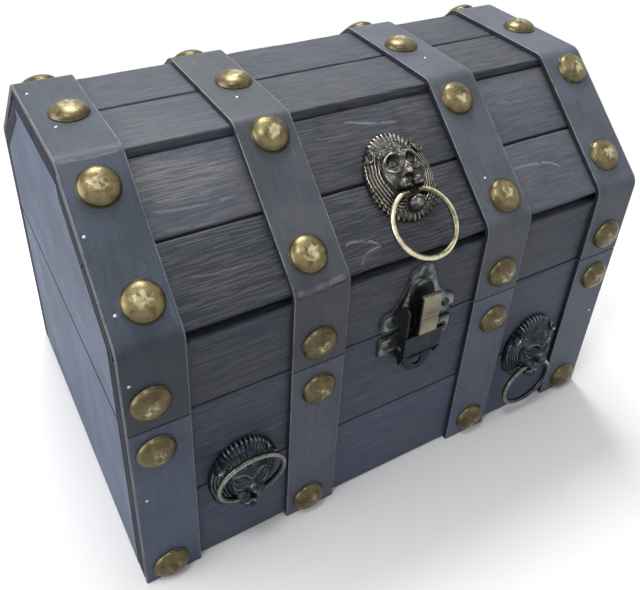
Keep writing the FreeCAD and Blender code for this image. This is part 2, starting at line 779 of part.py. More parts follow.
# Lion heads and rings. Each is made facing up, with its mouth at the origin and the top
# of the head towards +Y, and then set on its plank.
def lion_head():
    half = []
    for across, up in mane_outline_shares:
        half.append((across * head_half_width, up * (head_rise if up > 0 else beard_drop)))
    outline = half + [(-x, y) for x, y in half[-2:0:-1]]
    centre_y = (head_rise - beard_drop) / 2

    def mane_ring(even_share, odd_share, level):
        points = []
        for index, (x, y) in enumerate(outline):
            share = odd_share if index % 2 else even_share
            points.append(Vector(x * share, centre_y + (y - centre_y) * share, level))
        return points

    head = stacked_solid([
        mane_ring(1.0, 1.0, 0), mane_ring(1.0, 1.0, mane_edge_thickness),
        mane_ring(mane_lock_share, mane_groove_share, mane_lock_thickness),
        mane_ring(mane_inner_share, mane_inner_share, mane_thickness)])
    features = [faceted_dome(0, face_rise, face_half_width, face_half_height, 0, face_depth, head_sides, 2)]
    features.append(faceted_dome(0, -chin_drop, chin_half_width, chin_half_height, 0, chin_depth, head_sides, 2))
    for side in (-1, 1):
        features.append(faceted_dome(side * muzzle_offset, muzzle_rise, muzzle_radius, muzzle_radius,
                                     0, muzzle_depth, head_sides, 2))
        features.append(faceted_dome(side * brow_offset, brow_rise, brow_half_width, brow_half_height,
                                     0, brow_depth, head_sides, 2))
        features.append(faceted_dome(side * ear_offset, ear_rise, ear_half_width, ear_half_height,
                                     0, ear_depth, head_sides, 2))
    nose_foot = [Vector(-nose_half_width, nose_tip_rise, 0), Vector(nose_half_width, nose_tip_rise, 0),
                 Vector(nose_half_width, nose_tip_rise, nose_depth),
                 Vector(-nose_half_width, nose_tip_rise, nose_depth)]
    brow_end = [Vector(point.x, nose_top_rise, point.z * face_depth / nose_depth) for point in nose_foot]
    features.append(stacked_solid([nose_foot, brow_end]))
    jaw = Part.makeBox(jaw_half_width + jaw_half_width, jaw_half_height + jaw_half_height, jaw_depth,
                       Vector(-jaw_half_width, -jaw_half_height, 0))
    features.append(jaw.makeChamfer(jaw_round, jaw.Edges))
    head = head.fuse(features)
    for side in (-1, 1):
        socket = faceted_dome(side * eye_offset, eye_rise, eye_radius, eye_radius, 0,
                              eye_radius, head_sides, 2)
        socket = socket.mirror(Vector(0, 0, eye_depth / 2), Vector(0, 0, 1))
        head = head.cut(socket)
        bore = Part.makeCylinder(ring_pin_radius + ring_pin_clearance, head_half_width,
                                 Vector(side * (ring_pin_tip_offset - ring_pin_clearance), 0, mouth_depth),
                                 Vector(side, 0, 0))
        head = head.cut(bore)
    return head.removeSplitter()


def lion_ring(angle):
    # Open ring hanging towards -Y from pins on the mouth's axis, turned about them.
    drop = math.sqrt(ring_radius ** 2 - ring_end_offset ** 2)
    end_turn = math.asin(ring_end_offset / ring_radius)
    outlines = []
    for sweep in range(ring_sweep_sides + 1):
        bearing = end_turn + (math.tau - end_turn - end_turn) * sweep / ring_sweep_sides
        outline = []
        for step in range(ring_wire_sides):
            turn = math.tau * (step + 0.5) / ring_wire_sides
            reach = ring_radius + ring_wire_radius * math.cos(turn)
            outline.append(Vector(-reach * math.sin(bearing), reach * math.cos(bearing) - drop,
                                  mouth_depth + ring_wire_radius * math.sin(turn)))
        outlines.append(outline)
    ring = stacked_solid(outlines)
    pin_length = ring_end_offset - ring_pin_tip_offset + ring_wire_radius / 2
    for side in (-1, 1):
        ends = [ellipse_points(0, 0, ring_pin_radius, ring_pin_radius, level, ring_wire_sides)
                for level in (0, pin_length)]
        pin = turned(stacked_solid(ends), Vector(0, 0, 0), Vector(0, 1, 0), side * 90.0)
        ring = ring.fuse(pin.translated(Vector(side * ring_pin_tip_offset, 0, mouth_depth)))
    return turned(ring, Vector(0, 0, mouth_depth), Vector(1, 0, 0), angle)


def on_front(shape, x):
    placed = turned(shape, Vector(0, 0, 0), Vector(1, 0, 0), 90.0)
    return placed.translated(Vector(x, -half_depth, lion_mouth_height))


def on_slope(shape):
    placed = turned(shape, Vector(0, 0, 0), Vector(1, 0, 0), math.degrees(slope_angle))
    y, z = slope_point(lid_lion_mouth_length)
    return placed.translated(Vector(front_offset, y, z))


def build_lions():
    head = lion_head()
    save("left_lion_head", on_front(head, -bay_centre))
    save("right_lion_head", on_front(head, bay_centre))
    save("lid_lion_head", on_slope(head))
    save("right_lion_ring", on_front(lion_ring(right_ring_angle), bay_centre))
    save("left_lion_ring", on_front(lion_ring(left_ring_angle), -bay_centre))
    save("lid_lion_ring", on_slope(lion_ring(lid_ring_angle)))


build_boards()
build_planks()
build_bands()
build_studs()
build_hinges()
build_latch()
build_lions()
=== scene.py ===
import math
import random

import bmesh
import bpy
from mathutils import Matrix, Vector, noise


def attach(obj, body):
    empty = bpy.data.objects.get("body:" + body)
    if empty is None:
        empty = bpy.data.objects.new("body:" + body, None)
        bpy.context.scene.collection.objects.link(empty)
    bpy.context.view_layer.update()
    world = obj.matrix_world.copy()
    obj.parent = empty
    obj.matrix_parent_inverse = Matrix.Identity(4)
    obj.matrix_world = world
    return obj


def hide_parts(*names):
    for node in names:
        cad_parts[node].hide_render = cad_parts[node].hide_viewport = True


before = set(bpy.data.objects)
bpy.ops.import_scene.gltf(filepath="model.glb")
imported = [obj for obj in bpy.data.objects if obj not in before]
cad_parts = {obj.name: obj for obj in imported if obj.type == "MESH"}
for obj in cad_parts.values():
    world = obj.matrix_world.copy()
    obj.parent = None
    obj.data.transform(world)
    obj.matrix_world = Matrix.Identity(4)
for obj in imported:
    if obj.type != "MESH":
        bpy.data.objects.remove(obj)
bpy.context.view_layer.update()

mm = 0.001  # the shapes below are written in millimetres


# Small helpers for materials

def plugIn(tree, node, inputs):
    # sockets are linked, plain values are set
    for name, value in inputs.items():
        if isinstance(value, bpy.types.NodeSocket):
            tree.links.new(value, node.inputs[name])
        else:
            node.inputs[name].default_value = value


def addNode(tree, kind, inputs=None, **settings):
    made = tree.nodes.new("ShaderNode" + kind)
    for name, value in settings.items():
        setattr(made, name, value)
    plugIn(tree, made, inputs or {})
    return made


def newFinish(name):
    finish = bpy.data.materials.new(name)
    finish.use_nodes = True
    tree = finish.node_tree
    tree.nodes.clear()
    shader = addNode(tree, "BsdfPrincipled")
    addNode(tree, "OutputMaterial", {"Surface": shader.outputs["BSDF"]})
    return finish, tree, shader


def placeOn(tree, scale=(1, 1, 1), shift=(0, 0, 0)):
    where = addNode(tree, "TexCoord").outputs["Object"]
    return addNode(tree, "Mapping", {"Vector": where, "Scale": scale, "Location": shift}).outputs["Vector"]


def speckle(tree, vector, scale, detail, roughness, distortion=0.0):
    return addNode(tree, "TexNoise", {"Vector": vector, "Scale": scale, "Detail": detail, "Roughness": roughness,
                                      "Distortion": distortion}).outputs["Fac"]


def sums(tree, operation, first, second=0.0):
    return addNode(tree, "Math", {0: first, 1: second}, operation=operation).outputs[0]


def joined(tree, operation, values):
    total = values[0]
    for value in values[1:]:
        total = sums(tree, operation, total, value)
    return total


def plus(tree, *values):
    return joined(tree, "ADD", values)


def times(tree, *values):
    return joined(tree, "MULTIPLY", values)


def largest(tree, *values):
    return joined(tree, "MAXIMUM", values)


def minus(tree, first, second):
    return sums(tree, "SUBTRACT", first, second)


def weighted(tree, *parts):
    # each part is a value and its share
    return plus(tree, *(times(tree, value, part) for value, part in parts))


def fade(tree, value, start, end, low=0.0, high=1.0):
    inputs = {"Value": value, "From Min": start, "From Max": end, "To Min": low, "To Max": high}
    return addNode(tree, "MapRange", inputs, interpolation_type="SMOOTHSTEP").outputs["Result"]


def blendColour(tree, amount, first, second, kind="MIX"):
    inputs = {"Factor": amount, "A": first, "B": second}
    return addNode(tree, "Mix", inputs, data_type="RGBA", blend_type=kind).outputs["Result"]


def washes(tree, colour, *layers):
    # each layer is an amount and the colour that it lays over the rest
    for amount, wash in layers:
        colour = blendColour(tree, amount, colour, wash)
    return colour


def shaded(tree, colour, *tones):
    for tone in tones:
        colour = blendColour(tree, 1.0, colour, tone, "MULTIPLY")
    return colour


def coordinate(tree, axis, source="Object"):
    where = addNode(tree, "TexCoord").outputs[source]
    return addNode(tree, "SeparateXYZ", {0: where}).outputs[axis]


def millimetres(tree, axis):
    return times(tree, coordinate(tree, axis), 1000.0)


def painted(tree, mark):
    return addNode(tree, "Attribute", attribute_name=mark).outputs["Fac"]


def relief(tree, shader, height, strength, distance):
    made = addNode(tree, "Bump", {"Height": height, "Strength": strength, "Distance": distance * mm})
    plugIn(tree, shader, {"Normal": made.outputs["Normal"]})


# Small helpers for shapes

def nodeShape(nodeName, marks):
    # a merged copy of a CAD node; the marks are painted later and read by the finishes
    bm = bmesh.new()
    bm.from_mesh(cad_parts[nodeName].data)
    for mark in marks:
        bm.verts.layers.float.new(mark)
    bmesh.ops.remove_doubles(bm, verts=bm.verts, dist=0.002 * mm)
    bmesh.ops.dissolve_limit(bm, angle_limit=math.radians(1.0), verts=bm.verts, edges=bm.edges)
    return bm


def everything(bm):
    return bm.verts[:] + bm.edges[:] + bm.faces[:]


def isSharp(edge, degrees):
    return len(edge.link_faces) == 2 and edge.calc_face_angle(0) > math.radians(degrees)


def roundOff(bm, width, steps=2, degrees=30):
    sharp = [edge for edge in bm.edges if isSharp(edge, degrees)]
    made = bmesh.ops.bevel(bm, geom=sharp, offset=width * mm, offset_type="OFFSET", segments=steps,
                           profile=0.5, affect="EDGES", clamp_overlap=True, material=-1)
    return set(made["faces"])


def insetFaces(bm, faces, width, depth=0.0):
    bmesh.ops.inset_region(bm, faces=faces, thickness=width * mm, depth=depth * mm,
                           use_even_offset=True, use_boundary=True)


def closeIn(bm, rims, width, least=6.0):
    # a narrow border inside each flat area, so that marks on its rim stay there
    flats = {}
    for face in bm.faces:
        if face not in rims:
            level = round(face.normal.dot(face.verts[0].co) / mm, 1)
            key = tuple(round(part, 1) for part in face.normal) + (level,)
            flats.setdefault(key, []).append(face)
    inner = [faces for faces in flats.values() if sum(face.calc_area() for face in faces) > least * mm * mm]
    for faces in inner:
        insetFaces(bm, faces, width)
    return inner


def sliceAlong(bm, axis, low, high, step):
    count = max(1, round((high - low) / step))
    direction = Vector([1 if part == axis else 0 for part in range(3)])
    for number in range(1, count):
        place = direction * ((low + (high - low) * number / count) * mm)
        bmesh.ops.bisect_plane(bm, geom=everything(bm), dist=0.001 * mm, plane_co=place, plane_no=direction)


def moveVerts(bm, verts, way):
    bmesh.ops.translate(bm, verts=verts, vec=Vector(way) * mm)


def turnVerts(bm, verts, degrees, axis):
    bmesh.ops.rotate(bm, verts=verts, cent=(0, 0, 0), matrix=Matrix.Rotation(math.radians(degrees), 3, axis))


def spinRound(bm, points, steps, least):
    # a profile from the outside to the z axis or back, spun once round it
    verts = [bm.verts.new(point) for point in points]
    edges = [bm.edges.new(pair) for pair in zip(verts, verts[1:])]
    bmesh.ops.spin(bm, geom=verts + edges, cent=(0, 0, 0), axis=(0, 0, 1), dvec=(0, 0, 0),
                   angle=math.tau, steps=steps, use_merge=True, use_duplicate=False)
    bmesh.ops.remove_doubles(bm, verts=bm.verts, dist=least)


def fillHoles(bm):
    bmesh.ops.holes_fill(bm, edges=[edge for edge in bm.edges if edge.is_boundary], sides=0)


def newestOf(made, key):
    verts = [item for item in made[key] if isinstance(item, bmesh.types.BMVert)]
    known = set(verts)
    edges = [item for item in made[key] if isinstance(item, bmesh.types.BMEdge)
             and item.verts[0] in known and item.verts[1] in known]
    return verts, edges


def paintMark(bm, faces, mark, amount=1.0):
    layer = bm.verts.layers.float[mark]
    for face in faces:
        for vert in face.verts:
            vert[layer] = amount


def addShape(target, source, matrix):
    # moves a finished shape into a group
    mesh = bpy.data.meshes.new("part")
    source.to_mesh(mesh)
    source.free()
    mesh.transform(matrix)
    target.from_mesh(mesh)
    bpy.data.meshes.remove(mesh)


def makePiece(bm, name, body, finish, slotName, crease, *standsFor):
    bmesh.ops.recalc_face_normals(bm, faces=bm.faces)
    for face in bm.faces:
        face.smooth = True
    for edge in bm.edges:
        edge.smooth = not isSharp(edge, crease)
    mesh = bpy.data.meshes.new(name)
    bm.to_mesh(mesh)
    bm.free()
    mesh.materials.append(finish)
    piece = bpy.data.objects.new(name, mesh)
    bpy.context.scene.collection.objects.link(piece)
    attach(piece, body)
    if standsFor:
        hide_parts(*standsFor)


# Wood. The grain runs along one axis, so the pattern is stretched along it.

wood = {
    "dark": (0.048, 0.056, 0.076, 1),
    "pale": (0.084, 0.093, 0.118, 1),
    "brown": (0.108, 0.092, 0.092, 1),
    "blue": (0.050, 0.067, 0.100, 1),
    "poreAndShade": (0.013, 0.015, 0.020, 1),
    "chalk": (0.21, 0.21, 0.225, 1),
    "worn": (0.205, 0.188, 0.176, 1),
    "endGrain": (0.006, 0.009, 0.016, 1),
    "endCover": 0.95,
    "rubs": 0.25,
    "bump": (0.24, 0.09),
    # where one bay between the bands goes over into the next
    "bays": ((-60, -43), (43, 60)),
}


def woodFinish(name, seed, light=(1, 1, 1), brown=0.3, grain=0, chalk=0.06, coarse=0.7, tint=(1, 1, 1),
               strokes=(), lines=(), patch=None, mottle=0.0, shine=0.30):
    # light gives the painted light and shade of the left, middle and right bay
    finish, tree, shader = newFinish(name)

    def grained(lengthwise, across, detail, roughness, distortion=0.0):
        scale = [lengthwise if axis == grain else across for axis in range(3)]
        place = placeOn(tree, scale, (seed * 1.7, seed * 3.1, seed * 0.9))
        return speckle(tree, place, 1.0, detail, roughness, distortion)

    rings = grained(3.0, 26.0, 2.0, 0.42, 0.4)
    crest = sums(tree, "PINGPONG", times(tree, rings, 7.0), 0.5)
    fibre = grained(60.0, 1450.0, 3.0, 0.62)
    streak = grained(8.0, 160.0, 4.0, 0.60)
    pores = grained(210.0, 1500.0, 2.0, 0.5)
    patches = grained(9.0, 24.0, 3.0, 0.55)
    clouds = speckle(tree, placeOn(tree), 30.0 + seed * 0.1, 3.0, 0.6)
    grit = speckle(tree, placeOn(tree), 1250.0, 2.0, 0.6)

    tone = plus(tree, fade(tree, fibre, 0.30, 0.70, 0.0, 0.18), fade(tree, streak, 0.34, 0.66, 0.0, 0.24 * coarse),
                fade(tree, crest, 0.02, 0.49, 0.0, 0.10 * coarse), fade(tree, patches, 0.34, 0.66, 0.0, 0.16),
                fade(tree, grit, 0.32, 0.68, 0.0, 0.34))
    fine = times(tree, fade(tree, crest, 0.458, 0.498), fade(tree, clouds, 0.50, 0.66, 0.0, chalk))
    colour = washes(tree, wood["dark"], (fade(tree, tone, 0.16, 1.02), wood["pale"]),
                    (fade(tree, clouds, 0.44, 0.68, 0.0, brown), wood["brown"]),
                    (fade(tree, patches, 0.56, 0.34, 0.0, 0.45), wood["blue"]), (fine, wood["chalk"]))
    x = millimetres(tree, 0)
    near, far = wood["bays"]
    # each bay is painted lighter or darker by how the light falls on it
    bays = plus(tree, fade(tree, x, *near, light[0], light[1]), fade(tree, x, *far, 0.0, light[2] - light[1]))
    colour = shaded(tree, colour, bays, tint + (1,))
    colour = washes(tree, colour, (fade(tree, pores, 0.38, 0.27, 0.0, 0.38), wood["poreAndShade"]))
    if mottle:
        cast = plus(tree, clouds, times(tree, grit, 0.3))
        colour = shaded(tree, colour, fade(tree, cast, 0.50, 0.80, 1 - mottle, 1 + mottle))
    if patch:
        colour = washes(tree, colour, (wornPatch(tree, fibre, clouds, *patch), wood["worn"]))

    # rubbed arrises, pale single scratches, dark single lines, and dirt and painted shade in the joints
    rubbed = times(tree, painted(tree, "rub"), fade(tree, fibre, 0.44, 0.62, 0.0, wood["rubs"]))
    pale = largest(tree, rubbed, *(strokeMask(tree, *stroke) for stroke in strokes))
    dark = [(strokeMask(tree, *line), wood["poreAndShade"]) for line in lines]
    colour = washes(tree, colour, (pale, wood["chalk"]), *dark, (painted(tree, "grimeAndShade"), wood["poreAndShade"]))
    rough = fade(tree, plus(tree, fibre, patches), 0.7, 1.3, 0.50, 0.64)
    if grain == 0:
        # the end grain has drunk more stain and doesn't shine
        ends = fade(tree, sums(tree, "ABSOLUTE", coordinate(tree, 0, "Normal")), 0.70, 0.92)
        ends = times(tree, ends, wood["endCover"])
        colour = washes(tree, colour, (ends, wood["endGrain"]))
        rough = largest(tree, rough, ends)
    plugIn(tree, shader, {"Base Color": colour, "Roughness": rough, "Specular IOR Level": shine})
    height = plus(tree, weighted(tree, (fibre, 0.3), (streak, 0.2), (grit, 0.5)),
                  fade(tree, pores, 0.40, 0.28, 0.0, -0.2))
    relief(tree, shader, height, *wood["bump"])
    return finish


def wornPatch(tree, fibre, clouds, middle, reach, strength):
    # a pale fibrous area in the plane of x and z, in millimetres
    fromX, fromZ = [times(tree, minus(tree, millimetres(tree, axis), place), 1 / size)
                    for axis, place, size in zip((0, 2), middle, reach)]
    away = sums(tree, "SQRT", plus(tree, times(tree, fromX, fromX), times(tree, fromZ, fromZ)))
    away = plus(tree, away, times(tree, minus(tree, clouds, 0.5), 1.2))
    return times(tree, fade(tree, away, 1.15, 0.55, 0.0, strength), fade(tree, fibre, 0.40, 0.60, 0.15, 1.0))


def strokeMask(tree, ax, az, bx, bz, bow, thickness, strength):
    # a thin line from a to b in the plane of x and z, bowed sideways, in millimetres
    length = math.hypot(bx - ax, bz - az)
    ux, uz = (bx - ax) / length, (bz - az) / length
    wobble = speckle(tree, placeOn(tree), 160.0, 2.0, 0.5)
    fromX = minus(tree, millimetres(tree, 0), ax)
    fromZ = minus(tree, millimetres(tree, 2), az)
    share = times(tree, weighted(tree, (fromX, ux), (fromZ, uz)), 1 / length)
    curve = times(tree, share, minus(tree, 1.0, share), 4 * bow)
    off = plus(tree, weighted(tree, (fromX, uz), (fromZ, -ux)), times(tree, minus(tree, wobble, 0.5), 1.6))
    near = fade(tree, sums(tree, "ABSOLUTE", minus(tree, off, curve)), thickness, thickness * 0.3)
    within = times(tree, fade(tree, share, 0.0, 0.12), fade(tree, share, 1.0, 0.85))
    return times(tree, near, within, fade(tree, wobble, 0.34, 0.52, 0.35, 1.0), strength)


# Planks, with the looks of their wood

planks = {
    "arris": 0.45,
    "station": 5.0,
    "halfLength": 140,
    "sway": 0.14,
    "chip": 0.30,
    "crease": 20,
    # strokes and lines: x and z of both ends, bow, thickness, strength
    # each look's light paints light and shade onto its plank, bay by bay
    "looks": {
        "lid_front_slope_upper_plank": dict(
            light=(1.14, 0.64, 1.28), brown=0.65, chalk=0.25, coarse=0.9, tint=(1.02, 1.0, 0.98),
            patch=((-95.0, 186.5), (30.0, 7.0), 0.60), strokes=(
                (-111.0, 179.6, -72.0, 178.2, 0.8, 0.6, 0.6), (-108.0, 182.0, -80.0, 181.2, 0.6, 0.45, 0.55),
                (-109.0, 174.0, -84.0, 173.2, 0.5, 0.5, 0.5), (-107.0, 187.6, -72.0, 185.4, -0.6, 0.4, 0.45),
                (-14.0, 191.6, 18.0, 187.8, 0.8, 0.55, 0.75), (-30.0, 188.0, -4.0, 187.4, 0.4, 0.4, 0.35),
                (74.0, 186.0, 104.0, 184.6, 0.5, 0.45, 0.5), (80.0, 189.0, 98.0, 190.0, 0.5, 0.4, 0.4))),
        "lid_front_slope_lower_plank": dict(
            light=(0.40, 0.47, 1.30), brown=0.35, chalk=0.1, coarse=0.35, strokes=(
                (-35.0, 155.9, -17.0, 153.0, -2.0, 0.55, 0.85), (-17.0, 153.2, -31.0, 149.3, 1.6, 0.5, 0.7),
                (68.0, 163.4, 87.0, 162.6, -0.5, 0.55, 0.9), (86.0, 162.8, 98.0, 159.6, -0.8, 0.55, 0.9),
                (-104.0, 160.6, -76.0, 160.0, 0.5, 0.4, 0.4), (0.0, 158.0, 26.0, 156.6, 0.6, 0.4, 0.35))),
        "lid_front_skirt_plank": dict(light=(0.55, 0.64, 0.80), tint=(0.96, 1.0, 1.08),
                                      lines=((-113.0, 137.4, -84.0, 137.0, 0.2, 0.5, 0.9),)),
        "lid_back_slope_upper_plank": dict(light=(0.8, 0.7, 0.8), brown=0.5, coarse=1.2),
        "lid_back_slope_lower_plank": dict(light=(0.6, 0.6, 0.66), brown=0.4),
        "lid_back_skirt_plank": dict(light=(0.75, 0.72, 0.78)),
        "lid_top_front_plank": dict(light=(0.79, 0.61, 0.47), chalk=0.1),
        "lid_top_back_plank": dict(light=(0.74, 0.66, 0.60), brown=0.10, chalk=0.1),
        "base_front_upper_plank": dict(light=(0.68, 0.80, 0.90), brown=0.35, tint=(0.94, 1.06, 1.24)),
        "base_front_lower_plank": dict(light=(0.96, 1.04, 1.08), brown=0.10, tint=(0.94, 1.09, 1.34)),
        "base_back_upper_plank": dict(light=(0.74, 0.78, 0.76), brown=0.35),
        "base_back_lower_plank": dict(light=(0.78, 0.76, 0.80), brown=0.25),
    },
}


def weather(bm, seed, sway, chip=0.0):
    # the faces sway a little, and the rubbed arrises are chipped
    bm.normal_update()
    layer = bm.verts.layers.float.get("rub")
    for vert in bm.verts:
        x, y, z = vert.co
        move = sway * (noise.noise(Vector((x * 17, y * 30, z * 30 + seed))) - 0.6)
        if layer and vert[layer] > 0.5:
            move -= 2 * chip * max(0.0, noise.noise(Vector((x * 90 + seed, y * 200, z * 200))) - 0.12)
        vert.co += vert.normal * move * mm


print("planks")
for number, (nodeName, look) in enumerate(planks["looks"].items()):
    bm = nodeShape(nodeName, ["rub"])
    paintMark(bm, roundOff(bm, planks["arris"]), "rub")
    sliceAlong(bm, 0, -planks["halfLength"], planks["halfLength"], planks["station"])
    weather(bm, number * 5.1, planks["sway"], planks["chip"])
    finish = woodFinish(nodeName + " stain", 3.7 + number * 2.3, **look)
    makePiece(bm, nodeName + "_wood", nodeName.split("_")[0], finish, "plank_wood", planks["crease"], nodeName)


# End boards and floor

boards = {
    "arris": 0.6,
    "joint": 0.5,
    "grimeAndShade": 0.9,
    "crease": 20,
    # the axis of each board's grain
    "grains": {"base_left_end_board": 2, "base_right_end_board": 2, "lid_left_end_board": 1, "lid_right_end_board": 1,
               "base_floor_board": 0},
    # each light paints light and shade onto the boards, the left end boards most lit
    "left": dict(light=(1.5, 1.0, 1.0), brown=0.0, coarse=0.4, tint=(0.98, 1.03, 1.12), mottle=0.13, shine=0.08),
    "right": dict(light=(1.0, 1.0, 1.2), brown=0.10, chalk=0.2, coarse=0.8),
    "floor": dict(light=(0.8, 0.8, 0.8), chalk=0.2),
}

print("boards")
for number, (nodeName, grain) in enumerate(boards["grains"].items()):
    body, part = nodeName.split("_")[:2]
    bm = nodeShape(nodeName, ["grimeAndShade"])
    made = roundOff(bm, boards["arris"], 1)
    # the eased arrises of the boards are darkened: dirt and painted shade in the joints
    paintMark(bm, made, "grimeAndShade", boards["grimeAndShade"])
    for faces in closeIn(bm, made, boards["joint"]):
        paintMark(bm, faces, "grimeAndShade", 0.0)
    finish = woodFinish(nodeName + " stain", 41.3 + number * 3.1, grain=grain, **boards[part])
    makePiece(bm, nodeName + "_wood", body, finish, "end_wood", boards["crease"], nodeName)


# Dark strips in the joints between the planks, well below their faces; they stand in for the shade in the gaps, and
# their dark colour is painted shade

jointShadeStrips = {
    "length": 278.8,
    "across": 1.3,
    "station": 6.0,
    "sway": 0.08,
    # y, z, lean in degrees and depth of each joint; those of the first group are mirrored to the back
    "base": (((-89.5, 51.0, 0.0, 4.0),), ()),
    "lid": (((-62.6, 168.6, -50.8, 4.0), (-88.5, 141.7, 0.0, 1.6), (-36.45, 192.4, 90.0, 3.0)),
            ((1.4, 194.2, 90.0, 4.0),)),
}


def jointShadeStrip(bm, y, z, lean, deep):
    verts = bmesh.ops.create_cube(bm, size=mm)["verts"]
    bmesh.ops.scale(bm, vec=(jointShadeStrips["length"], deep, jointShadeStrips["across"]), verts=verts)
    turnVerts(bm, verts, lean, "X")
    moveVerts(bm, verts, (0, y, z))


print("jointShadeStrips")
# the strips are darkened all over: painted shade of the gaps
jointShadeFinish = woodFinish("joint shade strips", 77.0, light=(0.22, 0.22, 0.22), brown=0.2, chalk=0.0)
for body in ("base", "lid"):
    bm = bmesh.new()
    paired, single = jointShadeStrips[body]
    for joint in paired:
        jointShadeStrip(bm, *joint)
    bmesh.ops.mirror(bm, geom=everything(bm), axis="Y", merge_dist=-1)
    for joint in single:
        jointShadeStrip(bm, *joint)
    sliceAlong(bm, 0, -jointShadeStrips["length"] / 2, jointShadeStrips["length"] / 2, jointShadeStrips["station"])
    bmesh.ops.recalc_face_normals(bm, faces=bm.faces)
    weather(bm, len(body), jointShadeStrips["sway"])
    makePiece(bm, body + "_joint_shade_strips", body, jointShadeFinish, "plank_wood", 40)


# Bands: smooth dark strips over the planks, rubbed pale along their edges

bands = {
    "width": 27.6,
    "thickness": 2.5,
    "centres": (-126.2, -51.8, 51.8, 126.2),
    "outDepth": 96.5,
    "seam": 104.9,
    "baseTop": 104.3,
    "knee": 149.641,
    "ridge": 36.93,
    "top": 201.3,
    "bendRadius": 9.0,
    "bendSteps": 8,
    "station": 6.0,
    "border": 1.2,
    "waver": 0.09,
    "edge": 0.32,
    "crease": 18,
    "rub": (0.32, 0.33, 0.36, 1),
    "brown": (0.104, 0.086, 0.086, 1),
    "sideShade": (0.016, 0.018, 0.024, 1),
    "shine": 0.32,
    # for each band its tones on the lid and the base, the wear of its edges, its painted shade on the skirt and on the
    # top
    "looks": (
        ((0.052, 0.066, 0.090), (0.072, 0.093, 0.142), 0.50, 0.62, 0.78),
        ((0.058, 0.064, 0.077), (0.086, 0.098, 0.130), 0.50, 0.98, 0.96),
        ((0.076, 0.085, 0.105), (0.090, 0.112, 0.158), 0.50, 0.95, 1.0),
        ((0.082, 0.094, 0.120), (0.090, 0.108, 0.146), 0.60, 0.95, 1.0),
    ),
    # torn line on the second band, with pale fibres above it, and the crease on the first: band, colour, stroke
    "marks": (
        (-51.8, (0.20, 0.18, 0.21, 1), (-65.0, 149.0, -38.6, 150.6, 0.6, 1.8, 0.75)),
        (-51.8, (0.012, 0.013, 0.018, 1), (-65.4, 147.4, -38.2, 148.8, 0.5, 0.55, 1.0)),
        (-126.2, (0.19, 0.20, 0.23, 1), (-139.6, 200.2, -112.8, 200.0, 0.25, 0.40, 0.45)),
    ),
}
bandHalf = bands["width"] / 2
bandRise, bandRun = bands["top"] - bands["knee"], bands["outDepth"] - bands["ridge"]
bandSlope = math.atan2(bandRise, bandRun)


def bandFinish(name, centre, tone, wear, seed, skirt=1.0, flatTop=1.0):
    finish, tree, shader = newFinish(name)
    shift = (seed, seed * 2.1, seed * 0.7)
    place = placeOn(tree, (1, 1, 1), shift)
    streaks = speckle(tree, placeOn(tree, (420, 26, 26), shift), 1.0, 4.0, 0.65)
    clouds = speckle(tree, place, 30.0, 4.0, 0.6)
    fine = speckle(tree, place, 1300.0, 2.0, 0.6)
    dark, light = (tuple(part * share for part in tone) + (1,) for share in (0.74, 1.28))
    mottle = weighted(tree, (streaks, 0.22), (clouds, 0.48), (fine, 0.30))
    colour = blendColour(tree, fade(tree, mottle, 0.38, 0.62), dark, light)
    level = millimetres(tree, 2)
    # painted shade: darker on the skirt, and on the top of some bands
    colour = shaded(tree, colour, times(tree, fade(tree, level, 143.0, 158.0, skirt, 1.0),
                                        fade(tree, level, 199.0, 201.0, 1.0, flatTop)))
    colour = washes(tree, colour, (fade(tree, clouds, 0.56, 0.74, 0.0, 0.25), bands["brown"]))
    # a thin rubbed line along each edge, a few scuffs, and painted shade on the cut sides
    across = sums(tree, "ABSOLUTE", minus(tree, millimetres(tree, 0), centre))
    line = fade(tree, across, bandHalf - 0.85, bandHalf - 0.45)
    patchy = fade(tree, speckle(tree, place, 110.0, 5.0, 0.7), 0.36, 0.56, 0.1, 1.0)
    scratches = speckle(tree, placeOn(tree, (900, 60, 60), (seed, 0, 0)), 1.0, 1.0, 0.4)
    scuffs = times(tree, fade(tree, scratches, 0.69, 0.78), fade(tree, clouds, 0.50, 0.66, 0.0, 0.25))
    worn = largest(tree, times(tree, line, patchy, wear), scuffs)
    side = fade(tree, sums(tree, "ABSOLUTE", coordinate(tree, 0, "Normal")), 0.62, 0.88)
    marks = [(strokeMask(tree, *stroke), tint) for at, tint, stroke in bands["marks"] if at == centre]
    colour = washes(tree, colour, (worn, bands["rub"]), (side, bands["sideShade"]), *marks)
    rough = fade(tree, plus(tree, fine, clouds), 0.7, 1.3, 0.42, 0.56)
    plugIn(tree, shader, {"Base Color": colour, "Roughness": rough, "Specular IOR Level": bands["shine"]})
    relief(tree, shader, weighted(tree, (streaks, 0.3), (fine, 0.4)), 0.30, 0.10)
    return finish


def runStrip(bm, edges, place, heading, length):
    # straight run of the strip, in the side view
    count = max(1, round(length / bands["station"]))
    onward = Vector((0, math.cos(heading), math.sin(heading))) * length
    for number in range(count):
        verts, edges = newestOf(bmesh.ops.extrude_edge_only(bm, edges=edges), "geom")
        moveVerts(bm, verts, onward / count)
    return edges, place + onward


def bendStrip(bm, edges, place, heading, turn):
    # rounded bend towards the inside of the chest
    inward, onward = (Vector((0, math.sin(angle), -math.cos(angle))) for angle in (heading, heading - turn))
    centre = place + inward * bands["bendRadius"]
    ends = list({vert for edge in edges for vert in edge.verts})
    made = bmesh.ops.spin(bm, geom=ends + edges, cent=centre * mm, axis=(1, 0, 0), dvec=(0, 0, 0),
                          angle=-turn, steps=bands["bendSteps"], use_duplicate=False)
    return newestOf(made, "geom_last")[1], centre - onward * bands["bendRadius"], heading - turn


